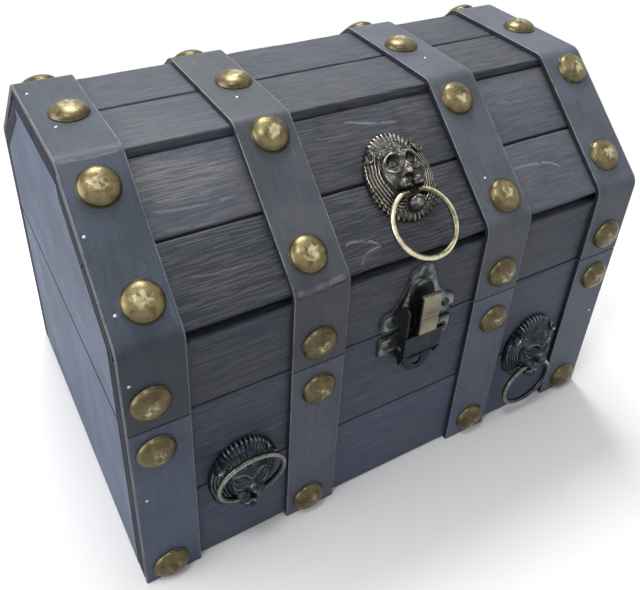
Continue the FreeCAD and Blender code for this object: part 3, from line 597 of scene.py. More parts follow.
def stripStart(bm, centre, height):
    # a line across the band's outer face, with points close to its edges
    across = [-bandHalf, -bandHalf + bands["border"], -bandHalf / 3]
    across += [-x for x in reversed(across)]
    verts = [bm.verts.new(Vector((centre + x, -bands["outDepth"], height)) * mm) for x in across]
    edges = [bm.edges.new(pair) for pair in zip(verts, verts[1:])]
    return edges, Vector((centre, -bands["outDepth"], height))


def thicken(bm):
    # the inner face lies on the planks
    bmesh.ops.recalc_face_normals(bm, faces=bm.faces)
    bm.normal_update()
    front = [face for face in bm.faces if face.calc_center_median().y < -90 * mm]
    if sum(face.normal.y * face.calc_area() for face in front) > 0:
        bmesh.ops.reverse_faces(bm, faces=bm.faces)
    bmesh.ops.solidify(bm, geom=bm.faces[:], thickness=bands["thickness"] * mm)


def lidBand(centre):
    bm = bmesh.new()
    edges, place = stripStart(bm, centre, bands["seam"])
    turn = math.pi / 2 - bandSlope
    lowTrim = bands["bendRadius"] * math.tan(turn / 2)
    highTrim = bands["bendRadius"] * math.tan(bandSlope / 2)
    skirt = bands["knee"] - bands["seam"] - lowTrim
    slope = math.hypot(bandRise, bandRun) - lowTrim - highTrim
    heading = math.pi / 2
    for length, bend in ((skirt, turn), (slope, bandSlope), (2 * bands["ridge"] - 2 * highTrim, bandSlope),
                         (slope, turn), (skirt, 0)):
        edges, place = runStrip(bm, edges, place, heading, length)
        if bend:
            edges, place, heading = bendStrip(bm, edges, place, heading, bend)
    bmesh.ops.remove_doubles(bm, verts=bm.verts, dist=0.01 * mm)
    thicken(bm)
    return bm


def baseBand(centre, side):
    bm = bmesh.new()
    edges, place = stripStart(bm, centre, 0)
    runStrip(bm, edges, place, math.pi / 2, bands["baseTop"])
    thicken(bm)
    bmesh.ops.scale(bm, vec=(1, -side, 1), verts=bm.verts)
    return bm


def finishBand(bm, centre, seed):
    bmesh.ops.remove_doubles(bm, verts=bm.verts, dist=0.01 * mm)
    bmesh.ops.recalc_face_normals(bm, faces=bm.faces)
    # the long edges waver a little
    for vert in bm.verts:
        offset = (vert.co.x / mm - centre) / bandHalf
        if abs(offset) > 0.95:
            wave = noise.noise(Vector((offset * 3 + seed, vert.co.y * 26, vert.co.z * 26)))
            vert.co.x -= math.copysign(bands["waver"] * (1 + wave), offset) * mm
    roundOff(bm, bands["edge"], 2, 60)


print("bands")
for number, (centre, look) in enumerate(zip(bands["centres"], bands["looks"])):
    lidTone, baseTone, wear, skirt, flatTop = look
    seed = number * 7.3 + 1.9
    label = str(number + 1)
    lidFinish = bandFinish("band " + label + " skin", centre, lidTone, wear, seed, skirt, flatTop)
    baseFinish = bandFinish("base band " + label + " skin", centre, baseTone, wear, seed + 3)
    for nodeName, bm, side, finish in (("lid_band_" + label, lidBand(centre), 0, lidFinish),
                                       ("base_front_band_" + label, baseBand(centre, -1), -1, baseFinish),
                                       ("base_back_band_" + label, baseBand(centre, 1), 1, baseFinish)):
        finishBand(bm, centre, seed + side)
        makePiece(bm, nodeName + "_strip", nodeName.split("_")[0], finish, "band", bands["crease"], nodeName)


# Brass

def brassFinish(name, bright, middle, dark, rough, grimeAndShade, tarnishAndShadeStrength, seed, pitted=0.3, edge=(0.30, 0.75), uneven=1.6):
    # the mark high holds the rubbed places and painted highlights, the other mark the stains and painted shade
    finish, tree, shader = newFinish(name)
    bright, middle, dark = (colour + (1,) for colour in (bright, middle, dark))
    place = placeOn(tree, (1, 1, 1), (seed, seed * 1.3, seed * 0.6))
    blots = speckle(tree, place, 240.0, 4.0, 0.66, 0.4)
    grainy = speckle(tree, place, 1400.0, 3.0, 0.6)
    mottle = weighted(tree, (blots, 0.7), (grainy, 0.3))
    raised = plus(tree, painted(tree, "high"), times(tree, minus(tree, 0.5, mottle), uneven))
    shown = fade(tree, raised, *edge)
    colour = washes(tree, middle, (fade(tree, mottle, 0.46, 0.64, 0.0, grimeAndShade), dark),
                    (times(tree, painted(tree, "tarnishAndShade"), tarnishAndShadeStrength), dark), (shown, bright))
    sheen = fade(tree, minus(tree, grainy, times(tree, shown, 0.5)), -0.2, 0.7, *rough)
    plugIn(tree, shader, {"Base Color": colour, "Roughness": sheen, "Metallic": 0.90})
    relief(tree, shader, plus(tree, times(tree, grainy, 0.5), blots), pitted, 0.12)
    return finish


# name, the colours bright, middle and dark, roughness, grime, strength of the stains and painted shade, seed, and for
# some pitting, edge and unevenness
brass = {
    "stud": brassFinish("hammered brass", (0.60, 0.53, 0.32), (0.220, 0.182, 0.090), (0.050, 0.040, 0.024),
                        (0.18, 0.38), 0.75, 0.66, 3.0, 0.35, (0.05, 0.95)),
    "lion": brassFinish("lion brass", (0.35, 0.33, 0.25), (0.068, 0.066, 0.060), (0.013, 0.014, 0.017),
                        (0.22, 0.44), 0.8, 0.9, 8.0, 0.2, (0.22, 0.85)),
    # the shaded lion and ring brass are darker copies for the base: painted shade
    "dark lion": brassFinish("shaded lion brass", (0.15, 0.165, 0.175), (0.034, 0.042, 0.053), (0.008, 0.010, 0.014),
                             (0.24, 0.46), 0.8, 0.9, 9.0, 0.2, (0.22, 0.85)),
    "ring": brassFinish("ring brass", (0.74, 0.69, 0.48), (0.135, 0.124, 0.070), (0.05, 0.048, 0.036),
                        (0.14, 0.30), 0.5, 0.5, 12.0, 0.12, (0.25, 0.95)),
    "dark ring": brassFinish("shaded ring brass", (0.26, 0.26, 0.21), (0.046, 0.052, 0.055), (0.018, 0.021, 0.025),
                             (0.18, 0.34), 0.5, 0.5, 14.0, 0.12, (0.30, 1.05)),
    "latch": brassFinish("latch brass", (0.20, 0.215, 0.20), (0.032, 0.040, 0.047), (0.010, 0.013, 0.020),
                         (0.30, 0.50), 0.7, 1.0, 17.0),
    "lever": brassFinish("rubbed and shaded lever brass", (0.30, 0.265, 0.185), (0.042, 0.044, 0.044), (0.010, 0.016, 0.028),
                         (0.26, 0.46), 0.5, 1.0, 21.0, 0.2, (0.30, 1.0), 0.5),
    "hinge": brassFinish("hinge brass", (0.27, 0.23, 0.135), (0.12, 0.10, 0.055), (0.035, 0.032, 0.026),
                         (0.30, 0.50), 0.8, 0.6, 27.0),
    "screw": brassFinish("screw brass", (0.16, 0.16, 0.14), (0.045, 0.047, 0.046), (0.010, 0.011, 0.013),
                         (0.30, 0.50), 0.6, 1.0, 31.0),
    "brad": brassFinish("brad steel", (0.85, 0.85, 0.86), (0.55, 0.55, 0.57), (0.25, 0.25, 0.27),
                        (0.2, 0.4), 0.3, 0.2, 37.0),
}


# Studs: hammered domes

studs = {
    "radius": 8.8,
    "height": 4.8,
    "rim": 0.55,
    "steps": 40,
    "tiers": 11,
    "crease": 50,
    "dents": 15,
    "dentRadius": 3.0,
    "dentDepth": 0.15,
    "pitRadius": 1.7,
    "pitDepth": 0.20,
    "crown": 3.6,
    # the studs on the upright faces, on the lid the first eight, get painted shade and are darker than the others; all
    # are a little stained
    "stainsAndShades": (0.92, 0.18),
    "upright": {"base": 16, "lid": 8},
    # for each row the face of the bands, the place along it and each front stud's shift across and along
    "base": (
        ("front", 10.2, ((-1.2, -0.7), (-1.6, -0.1), (1.1, 2.2), (1.3, -0.7))),
        ("front", 89.2, ((-2.4, 1.7), (0.7, -0.3), (2.5, -1.9), (1.5, 0.6))),
    ),
    "lid": (
        ("front", 119.1, ((-2.5, 1.1), (-0.4, -0.9), (1.0, 0.4), (1.0, -0.4))),
        ("slope", 15.9, ((2.0, 0.8), (-1.7, -0.8), (2.1, -2.4), (-1.2, 2.3))),
        ("slope", 67.0, ((-0.2, -2.6), (1.1, 2.6), (-1.8, -0.8), (3.0, 0.6))),
        ("top", 0.0, ((2.3, -1.4), (3.7, -1.1), (-1.3, 3.2), (3.3, -1.6))),
    ),
}


def onBand(face, x, s, side=-1):
    # s runs up the front, up the slope from the knee, or back over the top; side is -1 in front
    y, z, lean = {
        "front": (bands["outDepth"], s, math.pi / 2),
        "slope": (bands["outDepth"] - s * math.cos(bandSlope), bands["knee"] + s * math.sin(bandSlope), bandSlope),
        "top": (side * s, bands["top"], 0.0),
    }[face]
    return Matrix.Translation(Vector((x, side * y, z)) * mm) @ Matrix.Rotation(-side * lean, 4, "X")


def studPlaces(body):
    # the front and top studs lie a little off their rows, the back ones in straight rows
    places = []
    for face, s, shifts in studs[body]:
        for x, (across, onward) in zip(bands["centres"], shifts):
            places.append(onBand(face, x + across, s + onward))
            if face != "top":
                places.append(onBand(face, x, s, 1))
    return places


def dome(sizes):
    # profile from the rim to the crown, spun round
    radius, height, rim, tiers = (sizes[name] for name in ("radius", "height", "rim", "tiers"))
    bm = bmesh.new()
    points = [(radius - 0.12, 0), (radius, 0.12), (radius, rim - 0.1), (radius - 0.14, rim)]
    for tier in range(1, tiers + 1):
        rise = math.pi / 2 * tier / tiers
        points.append(((radius - 0.14) * math.cos(rise), rim + (height - rim) * math.sin(rise)))
    spinRound(bm, [Vector((max(reach, 0), 0, level)) * mm for reach, level in points], sizes["steps"], 0.004 * mm)
    fillHoles(bm)
    bmesh.ops.recalc_face_normals(bm, faces=bm.faces)
    return bm


def clamp(value):
    return max(0.0, min(1.0, value))


def hammer(bm, seed, stainAndShade):
    # each blow leaves a shallow dish in the dome
    chance = random.Random(seed)
    blows = []
    for number in range(studs["dents"]):
        reach = studs["radius"] * 0.9 * math.sqrt((number + 0.3) / studs["dents"])
        bearing = number * 2.399 + chance.uniform(-0.5, 0.5)
        blows.append((reach * math.cos(bearing), reach * math.sin(bearing), chance.uniform(0.5, 1.0)))
    crownX, crownY = chance.uniform(-0.8, 0.8), chance.uniform(-0.8, 0.8)
    high = bm.verts.layers.float.new("high")
    tarnishAndShade = bm.verts.layers.float.new("tarnishAndShade")
    for vert in bm.verts:
        x, y, z = vert.co / mm
        # the crown is rubbed bright, with a painted highlight, round a few dark pits; the foot is stained darker,
        # partly painted shade
        away = math.hypot(x - crownX, y - crownY)
        ragged = 0.9 * noise.noise(Vector((x * 0.5 + seed, y * 0.5, seed * 0.37)))
        rubbed = max(0.0, 1 - (away / studs["crown"] + ragged) ** 2)
        vert[high] = (0.95 - 0.55 * stainAndShade) * rubbed - 0.5 * max(0.0, 1 - away / 1.5)
        flank = clamp((math.hypot(x, y) - 5.2) / 3.2)
        vert[tarnishAndShade] = min(1.0, stainAndShade + 0.9 * flank ** 1.5 + 0.5 * max(0.0, 1 - away / 1.2))
        if z <= studs["rim"]:
            continue
        if away < studs["pitRadius"]:
            vert.co.z -= studs["pitDepth"] * (1 - (away / studs["pitRadius"]) ** 2) ** 1.5 * mm
        away, force = min((math.hypot(x - bx, y - by) / studs["dentRadius"], force) for bx, by, force in blows)
        if away < 1:
            vert.co.z -= studs["dentDepth"] * force * (1 - away * away) * min(1, z - studs["rim"]) * mm


print("studs")
for group, body in enumerate(("base", "lid")):
    gathered = bmesh.new()
    for number, matrix in enumerate(studPlaces(body)):
        bm = dome(studs)
        hammer(bm, group * 100 + number, studs["stainsAndShades"][0 if number < studs["upright"][body] else 1])
        addShape(gathered, bm, matrix @ Matrix.Rotation(number * 1.9, 4, "Z"))
    nodeName = body + "_studs"
    makePiece(gathered, nodeName + "_domes", body, brass["stud"], "stud_brass", studs["crease"], nodeName)


# Lion heads: a relief on a round grid whose middle lies between the eyes

lion = {
    "halfWidth": 17.3,
    "rise": 31.4,
    "beard": 12.5,
    "shares": ((0.00, 1.00), (0.26, 0.98), (0.52, 0.90), (0.72, 0.78), (0.90, 0.62), (1.00, 0.42),
               (1.00, 0.18), (0.92, -0.12), (0.80, -0.45), (0.56, -0.78), (0.26, -0.94), (0.00, -1.00)),
    "middle": (0.0, 11.0),
    "steps": 300,
    "rings": 64,
    "teeth": 26,
    "thinnest": 0.7,
    "smoothing": 0.35,
    "crease": 70,
    "blurs": 2,
    "gain": 4.6,
    "mouthDepth": 8.2,
    "mouthHeight": 42.5,
    "lidMouthLength": 26.0,
    "lidOffset": 3.5,
    "sides": 89.0,
    "front": -94.0,
    "slopeFoot": (-94.0, 148.5),
    "slopeHead": (-36.0, 195.8),
}


def bump(x, y, centreX, centreY, radiusX, radiusY, power=2.0):
    away = math.hypot((x - centreX) / radiusX, (y - centreY) / radiusY)
    return max(0.0, 1 - away ** power)


def softBump(x, y, centreX, centreY, radiusX, radiusY):
    away = ((x - centreX) / radiusX) ** 2 + ((y - centreY) / radiusY) ** 2
    return math.exp(-away * 1.6)


def arcRidge(x, y, centreX, centreY, radius, width, start, end):
    # a raised line along part of a circle, fading at its ends; angles in degrees
    reach = math.hypot(x - centreX, y - centreY)
    bearing = math.degrees(math.atan2(y - centreY, x - centreX)) % 360
    middle, half = (start + end) / 2, (end - start) / 2
    off = abs((bearing - middle + 180) % 360 - 180) / half
    return clamp((1.3 - off) / 0.5) * math.exp(-((reach - radius) / width) ** 2)


def lionOutline(bearing):
    # how far the edge of the mane lies from the middle, in one direction
    points = []
    for across, up in lion["shares"]:
        points.append((across * lion["halfWidth"], up * (lion["rise"] if up > 0 else lion["beard"])))
    points += [(-x, y) for x, y in points[-2:0:-1]]
    middleX, middleY = lion["middle"]
    dx, dy = math.cos(bearing), math.sin(bearing)
    best = 0.0
    for (ax, ay), (bx, by) in zip(points, points[1:] + points[:1]):
        ex, ey = bx - ax, by - ay
        cross = dx * ey - dy * ex
        if abs(cross) < 1e-9:
            continue
        reach = ((ax - middleX) * ey - (ay - middleY) * ex) / cross
        share = ((ax - middleX) * dy - (ay - middleY) * dx) / cross
        if -1e-6 <= share <= 1 + 1e-6 and reach > best:
            best = reach
    return best


def smoothStep(value, start, end):
    # from 0 at the start to 1 at the end
    part = clamp((value - start) / (end - start))
    return part * part * (3 - 2 * part)


def strands(x, y, edge):
    # combed hair: upright at the crown, falling beside the face along the outline, straight in the beard
    bearing = math.atan2(y - lion["middle"][1], x)
    crown = abs(math.sin(bearing * lion["teeth"])) ** 0.8
    fall = abs(math.sin(math.pi * (12.5 * edge - 0.05 * (y - 20) + 0.12 * math.sin(y * 0.5)))) ** 0.7
    beard = abs(math.sin(x * 1.5)) ** 0.8
    atCrown = smoothStep(y, 19.0, 23.0)
    atBeard = smoothStep(-y, 4.5, 8.0)
    beside = (1 - atCrown) * (1 - atBeard)
    wave = fall * beside + crown * atCrown + beard * atBeard
    depth = 1.4 * beside + 0.60 * atCrown + 0.9 * atBeard
    return (wave - 0.55) * depth


def lionHeight(x, y, edge):
    # edge is 0 in the middle and 1 on the outline; y counts from the mouth
    side = abs(x)
    height = 2.3 + 3.5 * clamp((1 - edge) / 0.5) ** 0.6
    face = bump(x, y, 0, 11.6, 10.4, 13.2, 2.6)
    height += 3.9 * face ** 0.5
    height += smoothStep(0.30 - face, 0.0, 0.22) * strands(x, y, edge)
    # combed roll of hair along the forehead
    roll = math.exp(-((math.hypot(x / 10.6, (y - 11.6) / 13.4) - 1.0) / 0.075) ** 2) * smoothStep(y, 17.5, 20.5)
    height += roll * (0.7 + 0.7 * abs(math.sin(math.atan2(y - 8.0, x) * 20)))
    height += 1.1 * softBump(side, y, 2.7, 21.4, 2.5, 2.3)  # forehead
    height -= 0.9 * softBump(x, y, 0, 20.5, 0.9, 3.4)  # frown line
    # round eyes under heavy brows
    height -= 2.5 * bump(side, y, 4.9, 14.9, 3.1, 2.8, 2.2)
    height += 2.1 * bump(side, y, 4.9, 14.6, 2.1, 1.9) ** 0.6
    height -= 0.7 * softBump(side, y, 4.9, 14.6, 0.7, 0.7)
    height += 1.9 * arcRidge(side, y, 4.9, 14.9, 3.9, 1.0, 12, 165)
    height += 1.3 * arcRidge(side, y, 4.7, 14.4, 4.7, 0.6, 200, 335)
    height += 1.5 * softBump(side, y, 7.4, 7.2, 3.2, 4.2)  # cheek
    # nose and muzzle
    bridge = clamp((20.0 - y) / 9.0)
    if 6.5 < y < 20.5:
        height += (0.9 + 2.1 * bridge) * math.exp(-(x / (1.2 + 0.8 * bridge)) ** 2) * smoothStep(y, 6.5, 8.0)
    height += 1.6 * bump(x, y, 0, 8.7, 2.5, 2.0) ** 0.7
    height -= 0.8 * softBump(side, y, 1.2, 7.2, 0.6, 0.5)
    muzzle = bump(side, y, 3.8, 4.0, 3.6, 3.3, 2.2) ** 0.5
    if muzzle > 0:
        height = max(height, 8.0 + 5.0 * muzzle)
    # open mouth, jaw with its rim, lower lip
    if side < 5.2 and -4.0 < y < 1.6:
        height = min(height, 5.2)
    jaw = bump(x, y, 0, -5.4, 4.5, 3.4, 2.4) ** 0.5
    if jaw > 0:
        height = max(height, 6.2 + 4.6 * jaw)
    lip = bump(x, y, 0, -5.9, 2.7, 2.2) ** 0.5
    if lip > 0:
        height = max(height, 9.6 + 2.4 * lip)
    rim = smoothStep(4.6 - side, 0.0, 0.8)
    height += 1.5 * rim * math.exp(-((y + 2.9 - 0.5 * math.cos(x * 1.4)) / 0.55) ** 2)
    height -= 2.6 * softBump(side, y, 7.2, -0.8, 2.6, 2.2)  # hollow beside the mouth, where the ring comes out
    if side < 7.4 and -1.9 < y < 2.0:
        height = min(height, 6.2)  # room for the ends of the ring as it swings
    # leaf-shaped ears
    ear = bump(side, y, 13.2 - 0.1 * (y - 22), 21.6, 2.7, 3.9)
    if ear > 0:
        rim = 2.0 * max(0.0, 1 - abs(ear - 0.28) / 0.28)
        height = 4.6 + rim - 1.3 * ear + 0.9 * math.exp(-((side - 13.2) / 0.45) ** 2) * ear
    return height


def paintHigh(bm):
    # marks what stands out from its surroundings, which is where brass stays bright
    bm.verts.ensure_lookup_table()
    bm.normal_update()
    layer = bm.verts.layers.float.new("high")
    values = []
    for vert in bm.verts:
        count = max(1, len(vert.link_edges))
        middle = sum((edge.other_vert(vert).co for edge in vert.link_edges), Vector((0, 0, 0))) / count
        spacing = sum(edge.calc_length() for edge in vert.link_edges) / count
        values.append((vert.co - middle).dot(vert.normal) / max(spacing, 1e-6))
    for turn in range(lion["blurs"]):
        blurred = []
        for vert in bm.verts:
            near = [values[edge.other_vert(vert).index] for edge in vert.link_edges]
            blurred.append((values[vert.index] + sum(near)) / (1 + len(near)))
        values = blurred
    for vert in bm.verts:
        vert[layer] = max(-0.6, min(1.0, values[vert.index] * lion["gain"]))


def lionHead():
    bm = bmesh.new()
    reaches = [(number / lion["rings"]) ** 0.82 for number in range(lion["rings"] + 1)]
    spinRound(bm, [(reach, 0, 0) for reach in reaches], lion["steps"], 1e-5)
    for vert in bm.verts:
        reach = math.hypot(vert.co.x, vert.co.y)
        bearing = math.atan2(vert.co.y, vert.co.x)
        tooth = abs(math.sin(bearing * lion["teeth"]))
        combed = clamp((abs(math.sin(bearing)) - 0.45) / 0.25)
        edge = lionOutline(bearing) * (1 - (0.055 * combed + 0.018) * (1 - tooth) * reach ** 8)
        x = lion["middle"][0] + edge * reach * math.cos(bearing)
        y = lion["middle"][1] + edge * reach * math.sin(bearing)
        vert.co = Vector((x, y, max(lion["thinnest"], lionHeight(x, y, reach)))) * mm
    bmesh.ops.smooth_vert(bm, verts=bm.verts, factor=lion["smoothing"], use_axis_z=True)
    paintHigh(bm)
    outline = [edge for edge in bm.edges if edge.is_boundary]
    for vert in newestOf(bmesh.ops.extrude_edge_only(bm, edges=outline), "geom")[0]:
        vert.co.z = 0
    fillHoles(bm)
    bmesh.ops.recalc_face_normals(bm, faces=bm.faces)
    return bm


def onFront(x):
    place = Vector((x, lion["front"], lion["mouthHeight"]))
    return Matrix.Translation(place * mm) @ Matrix.Rotation(math.radians(90), 4, "X")


def onSlope():
    (footY, footZ), (headY, headZ) = lion["slopeFoot"], lion["slopeHead"]
    lean = math.atan2(headZ - footZ, headY - footY)
    place = Vector((lion["lidOffset"], footY + lion["lidMouthLength"] * math.cos(lean),
                    footZ + lion["lidMouthLength"] * math.sin(lean)))
    return Matrix.Translation(place * mm) @ Matrix.Rotation(lean, 4, "X")


mouths = {"left": onFront(-lion["sides"]), "right": onFront(lion["sides"]), "lid": onSlope()}

print("lion heads")
head = lionHead()
for place, matrix in mouths.items():
    nodeName = place + "_lion_head"
    bm = head.copy()
    bmesh.ops.transform(bm, matrix=matrix, verts=bm.verts)
    # the lions on the base take the darker copy of the brass: painted shade
    body, metal = ("lid", "lion") if place == "lid" else ("base", "dark lion")
    makePiece(bm, nodeName + "_relief", body, brass[metal], "lion_brass", lion["crease"], nodeName)
head.free()


# Rings in the lions' mouths

rings = {
    "radius": 16.1,
    "steps": 96,
    "wire": 1.36,
    "wireSides": 18,
    "endOffset": 5.5,
    "pinRadius": 1.0,
    "pinTip": 2.6,
    "crease": 50,
    "lean": {"left": -171.0, "right": 3.4, "lid": 4.0},
}
ringDrop = math.sqrt(rings["radius"] ** 2 - rings["endOffset"] ** 2)


def lionRing(lean):
    bm = bmesh.new()
    opening = math.asin(rings["endOffset"] / rings["radius"])
    bmesh.ops.create_circle(bm, segments=rings["wireSides"], radius=rings["wire"] * mm, cap_ends=False)
    # the wire's section stands across the ring at its left end
    turnVerts(bm, bm.verts, 90, "Y")
    moveVerts(bm, bm.verts, (0, rings["radius"], 0))
    turnVerts(bm, bm.verts, math.degrees(opening), "Z")
    bmesh.ops.spin(bm, geom=bm.verts[:] + bm.edges[:], cent=(0, 0, 0), axis=(0, 0, 1), dvec=(0, 0, 0),
                   angle=math.tau - 2 * opening, steps=rings["steps"], use_duplicate=False)
    fillHoles(bm)
    moveVerts(bm, bm.verts, (0, -ringDrop, 0))
    for side in (-1, 1):
        knob = bmesh.ops.create_uvsphere(bm, u_segments=18, v_segments=10, radius=rings["wire"] * mm)
        moveVerts(bm, knob["verts"], (side * rings["endOffset"], 0, 0))
        pin = bmesh.ops.create_cone(bm, cap_ends=True, segments=16, radius1=rings["pinRadius"] * mm,
                                    radius2=rings["pinRadius"] * mm, depth=(rings["endOffset"] - rings["pinTip"]) * mm)
        turnVerts(bm, pin["verts"], 90, "Y")
        moveVerts(bm, pin["verts"], (side * (rings["endOffset"] + rings["pinTip"]) / 2, 0, 0))
    turnVerts(bm, bm.verts, lean, "X")
    moveVerts(bm, bm.verts, (0, 0, lion["mouthDepth"]))
    return bm


def rubAndHighlightWire(bm, lean):
    # the wire is rubbed bright along its front and outer side and dull underneath, with a painted highlight and
    # painted shade by the way it faces
    bm.normal_update()
    high = bm.verts.layers.float.new("high")
    turned = Matrix.Rotation(math.radians(lean), 3, "X")
    middle = (turned @ Vector((0, -ringDrop, 0)) + Vector((0, 0, lion["mouthDepth"]))) * mm
    face = turned @ Vector((0, 0, 1 if abs(lean) < 90 else -1))
    for vert in bm.verts:
        outward = (vert.co - middle).normalized()
        vert[high] = 0.72 * max(0.0, vert.normal.dot((face + outward * 0.5).normalized())) ** 2 + 0.12


print("rings")
for place, matrix in mouths.items():
    nodeName = place + "_lion_ring"
    bm = lionRing(rings["lean"][place])
    rubAndHighlightWire(bm, rings["lean"][place])
    bmesh.ops.transform(bm, matrix=matrix, verts=bm.verts)
    # the rings on the base take the darker copy of the brass: painted shade
    metal = brass["ring" if place == "lid" else "dark ring"]
    makePiece(bm, nodeName + "_wire", nodeName, metal, "ring_brass", rings["crease"], nodeName)


# Latch and hinges: the bent sheet keeps its shape, with eased and rubbed edges

sheets = {
    "latchAt": 3.5,
    "padFoot": 105.6,
    "padLine": 116.4,
    "padHalf": 5.5,
    "flangeFrom": 9.5,
    "flangeFoot": 104.3,
    "front": -95.2,
    "keeperFront": -95.6,
    "rim": 0.5,
    "rimRise": 0.2,
    "border": 0.25,
    "leverBorder": 0.6,
    "sharp": 40,
    "slots": {"latch": "latch_brass", "lever": "latch_brass", "hinge": "hinge_brass", "screw": "screw_brass"},
    # node, body, metal and width of the eased edges
    "rows": (
        ("latch_catch", "lid", "latch", 0.28),
        ("latch_base_plate", "base", "latch", 0.25),
        ("latch_lever", "latch_lever", "lever", 0.30),
        ("latch_pin", "base", "latch", 0.12),
        ("hinge_left_base_leaf", "base", "hinge", 0.2),
        ("hinge_right_base_leaf", "base", "hinge", 0.2),
        ("hinge_left_lid_leaf", "lid", "hinge", 0.2),
        ("hinge_right_lid_leaf", "lid", "hinge", 0.2),
        ("hinge_left_pin", "base", "hinge", 0.2),
        ("hinge_right_pin", "base", "hinge", 0.2),
        ("latch_catch_screws", "lid", "screw", 0.12),
        ("latch_base_screws", "base", "screw", 0.12),
        ("hinge_base_screws", "base", "screw", 0.12),
        ("hinge_lid_screws", "lid", "screw", 0.12),
    ),
}


def paintSheet(bm, nodeName, rubbed, rims):
    # rubbed edges; a pad on the lever rubbed bright, with a painted highlight along its crease line; painted shade on
    # the rest of the lever and on the keeper
    high = bm.verts.layers.float["high"]
    tarnishAndShade = bm.verts.layers.float["tarnishAndShade"]
    for vert in bm.verts:
        x, y, z = vert.co / mm
        onEdge = vert in rubbed
        vert[high] = 0.60 if onEdge else 0.50 if vert in rims else 0.0
        if nodeName == "latch_lever":
            across = x - sheets["latchAt"]
            if z > sheets["padFoot"] and abs(across) < sheets["padHalf"]:
                vert[high] = 0.82 if onEdge or abs(z - sheets["padLine"]) < 0.05 else 0.55
                vert[tarnishAndShade] = 0.0
            else:
                # below and beside the pad the lever is painted dark: painted shade
                vert[high] = 0.36 if onEdge else -0.4
                vert[tarnishAndShade] = 0.15 if across < -sheets["flangeFrom"] and z > sheets["flangeFoot"] else 1.0
        # the keeper is painted dark: painted shade
        if nodeName == "latch_catch" and y < sheets["keeperFront"]:
            vert[high] = 0.0
            vert[tarnishAndShade] = 0.95


def pressRims(bm, flats):
    # a pressed rim runs round the plates and their screw holes
    rims = set()
    for faces in flats:
        if faces[0].normal.y < -0.99 and abs(faces[0].verts[0].co.y / mm - sheets["front"]) < 0.1:
            before = set(bm.verts)
            insetFaces(bm, faces, sheets["rim"])
            rims |= set(bm.verts) - before | {vert for face in faces for vert in face.verts}
            insetFaces(bm, faces, sheets["border"], -sheets["rimRise"])
    return rims


print("latch and hinges")
for nodeName, body, metal, width in sheets["rows"]:
    bm = nodeShape(nodeName, ["high", "tarnishAndShade"])
    made = roundOff(bm, width, 2, sheets["sharp"])
    rubbed = {vert for face in made for vert in face.verts}
    flats = closeIn(bm, made, sheets["leverBorder" if nodeName == "latch_lever" else "border"])
    if nodeName == "latch_lever":
        for middle, half, step in ((sheets["padLine"], 0.9, 0.45), (sheets["padFoot"], 0.6, 0.4)):
            sliceAlong(bm, 2, middle - half, middle + half, step)
    rims = pressRims(bm, flats) if nodeName in ("latch_catch", "latch_base_plate") else set()
    paintSheet(bm, nodeName, rubbed, rims)
    makePiece(bm, nodeName + "_metal", body, brass[metal], sheets["slots"][metal], sheets["sharp"], nodeName)


# Brads: small nail heads in the bands

brads = {
    "radius": 0.75,
    "height": 0.45,
    "rim": 0.12,
    "steps": 14,
    "tiers": 4,
    "crease": 60,
    # the face of the band with x and z, on the top x and y
    "lid": (("slope", -135.3, 159.3), ("slope", -137.3, 180.2), ("slope", 47.5, 165.6), ("front", -136.3, 132.8),
            ("top", -135.6, 23.3), ("top", -132.0, -11.6), ("top", -53.6, -16.8), ("top", 52.7, -15.3)),
    "base": (("front", -135.1, 61.3), ("front", 135.0, 60.0)),
}

print("brads")
for body in ("lid", "base"):
    gathered = bmesh.new()
    for face, x, s in brads[body]:
        if face == "slope":
            s = (s - bands["knee"]) / math.sin(bandSlope)
        addShape(gathered, dome(brads), onBand(face, x, s))
    makePiece(gathered, body + "_brads", body, brass["brad"], "screw_brass", brads["crease"])


# Floor, light and camera

studio = {
    "floor": 0.95,
    "floorToObject": 0.40,
    "floorRadius": 30.0,
    "floorSides": 64,
    "floorLevel": -0.0002,
    "floorRough": 0.9,
    "clearFrom": (0.20, 0.46),
    "sky": 0.45,
    "target": (0, 0, 0.12),
    # place, size and power
    "lamps": {
        "overhead": ((0.12, 0.58, 1.30), 0.55, 15.0),
        "key": ((-0.34, -0.26, 1.00), 0.16, 2.0),
        "window": ((-1.35, 0.12, 0.50), 1.2, 20.0),
    },
}


def seenDirectly(tree):
    path = addNode(tree, "LightPath")
    return largest(tree, *(path.outputs["Is " + kind + " Ray"] for kind in ("Camera", "Glossy", "Transmission")))


print("studio")
bm = bmesh.new()
bmesh.ops.create_circle(bm, segments=studio["floorSides"], radius=studio["floorRadius"], cap_ends=True)
mesh = bpy.data.meshes.new("floor")
bm.to_mesh(mesh)
bm.free()
floor = bpy.data.objects.new("floor", mesh)
floor.location.z = studio["floorLevel"]
bpy.context.scene.collection.objects.link(floor)
finish, tree, shader = newFinish("floor white")
seen = seenDirectly(tree)
grey, white = ((studio[name],) * 3 + (1,) for name in ("floorToObject", "floor"))
plugIn(tree, shader, {"Base Color": blendColour(tree, seen, grey, white), "Roughness": studio["floorRough"],
                      "Specular IOR Level": 0.0})
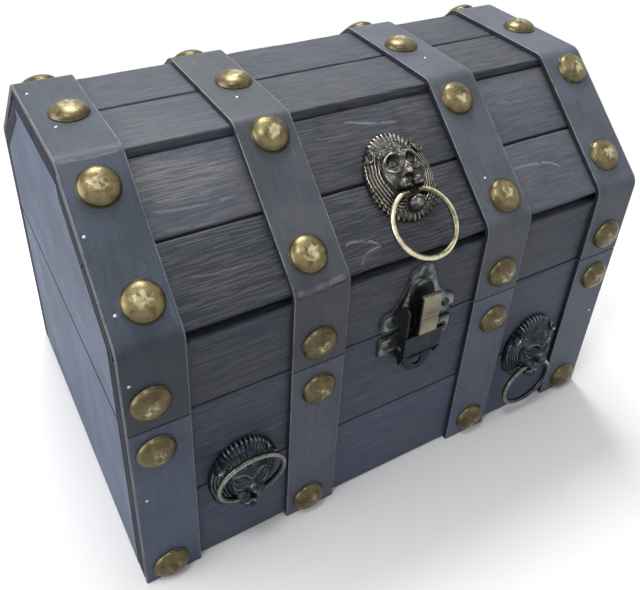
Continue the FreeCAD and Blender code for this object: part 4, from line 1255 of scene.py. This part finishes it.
# away from the object, and its shadow, the floor is plain white
where = addNode(tree, "TexCoord").outputs["Object"]
reach = addNode(tree, "VectorMath", {0: where}, operation="LENGTH").outputs["Value"]
plain = times(tree, seen, fade(tree, reach, *studio["clearFrom"]))
mixed = addNode(tree, "MixShader", {0: plain, 1: shader.outputs["BSDF"], 2: addNode(tree, "Emission").outputs[0]})
plugIn(tree, tree.nodes["Material Output"], {"Surface": mixed.outputs["Shader"]})
mesh.materials.append(finish)

world = bpy.data.worlds.new("studio")
bpy.context.scene.world = world
world.use_nodes = True
tree = world.node_tree
sky = fade(tree, seenDirectly(tree), 0.0, 1.0, studio["sky"], 1.0)
plugIn(tree, tree.nodes["Background"], {"Color": (1, 1, 1, 1), "Strength": sky})

for name, (place, size, power) in studio["lamps"].items():
    lamp = bpy.data.lights.new(name, "AREA")
    lamp.size = size
    lamp.energy = power
    holder = bpy.data.objects.new(name, lamp)
    holder.location = place
    holder.rotation_mode = "QUATERNION"
    holder.rotation_quaternion = (Vector(studio["target"]) - Vector(place)).to_track_quat("-Z", "Y")
    bpy.context.scene.collection.objects.link(holder)

# the camera fitted to the photograph
view = {
    "place": (-0.18357, -0.30171, 0.35570),
    "right": (0.85817024, -0.51028393, 0.05616184),
    "down": (-0.24593881, -0.50468569, -0.82753034),
    "forward": (0.45061951, 0.69634953, -0.55860486),
    "lens": 42.954,
    "sensor": 36.0,
    "shift": (-0.01825, -0.1425),
    "nearest": 0.01,
}
camera = bpy.data.cameras.new("camera")
camera.sensor_width = view["sensor"]
camera.sensor_fit = "HORIZONTAL"
camera.lens = view["lens"]
camera.shift_x, camera.shift_y = view["shift"]
camera.clip_start = view["nearest"]
holder = bpy.data.objects.new("camera", camera)
turned = Matrix((view["right"], [-part for part in view["down"]], [-part for part in view["forward"]])).transposed()
holder.matrix_world = Matrix.Translation(view["place"]) @ turned.to_4x4()
bpy.context.scene.collection.objects.link(holder)
bpy.context.scene.camera = holder
bpy.context.scene.view_settings.view_transform = "Standard"

print("done")
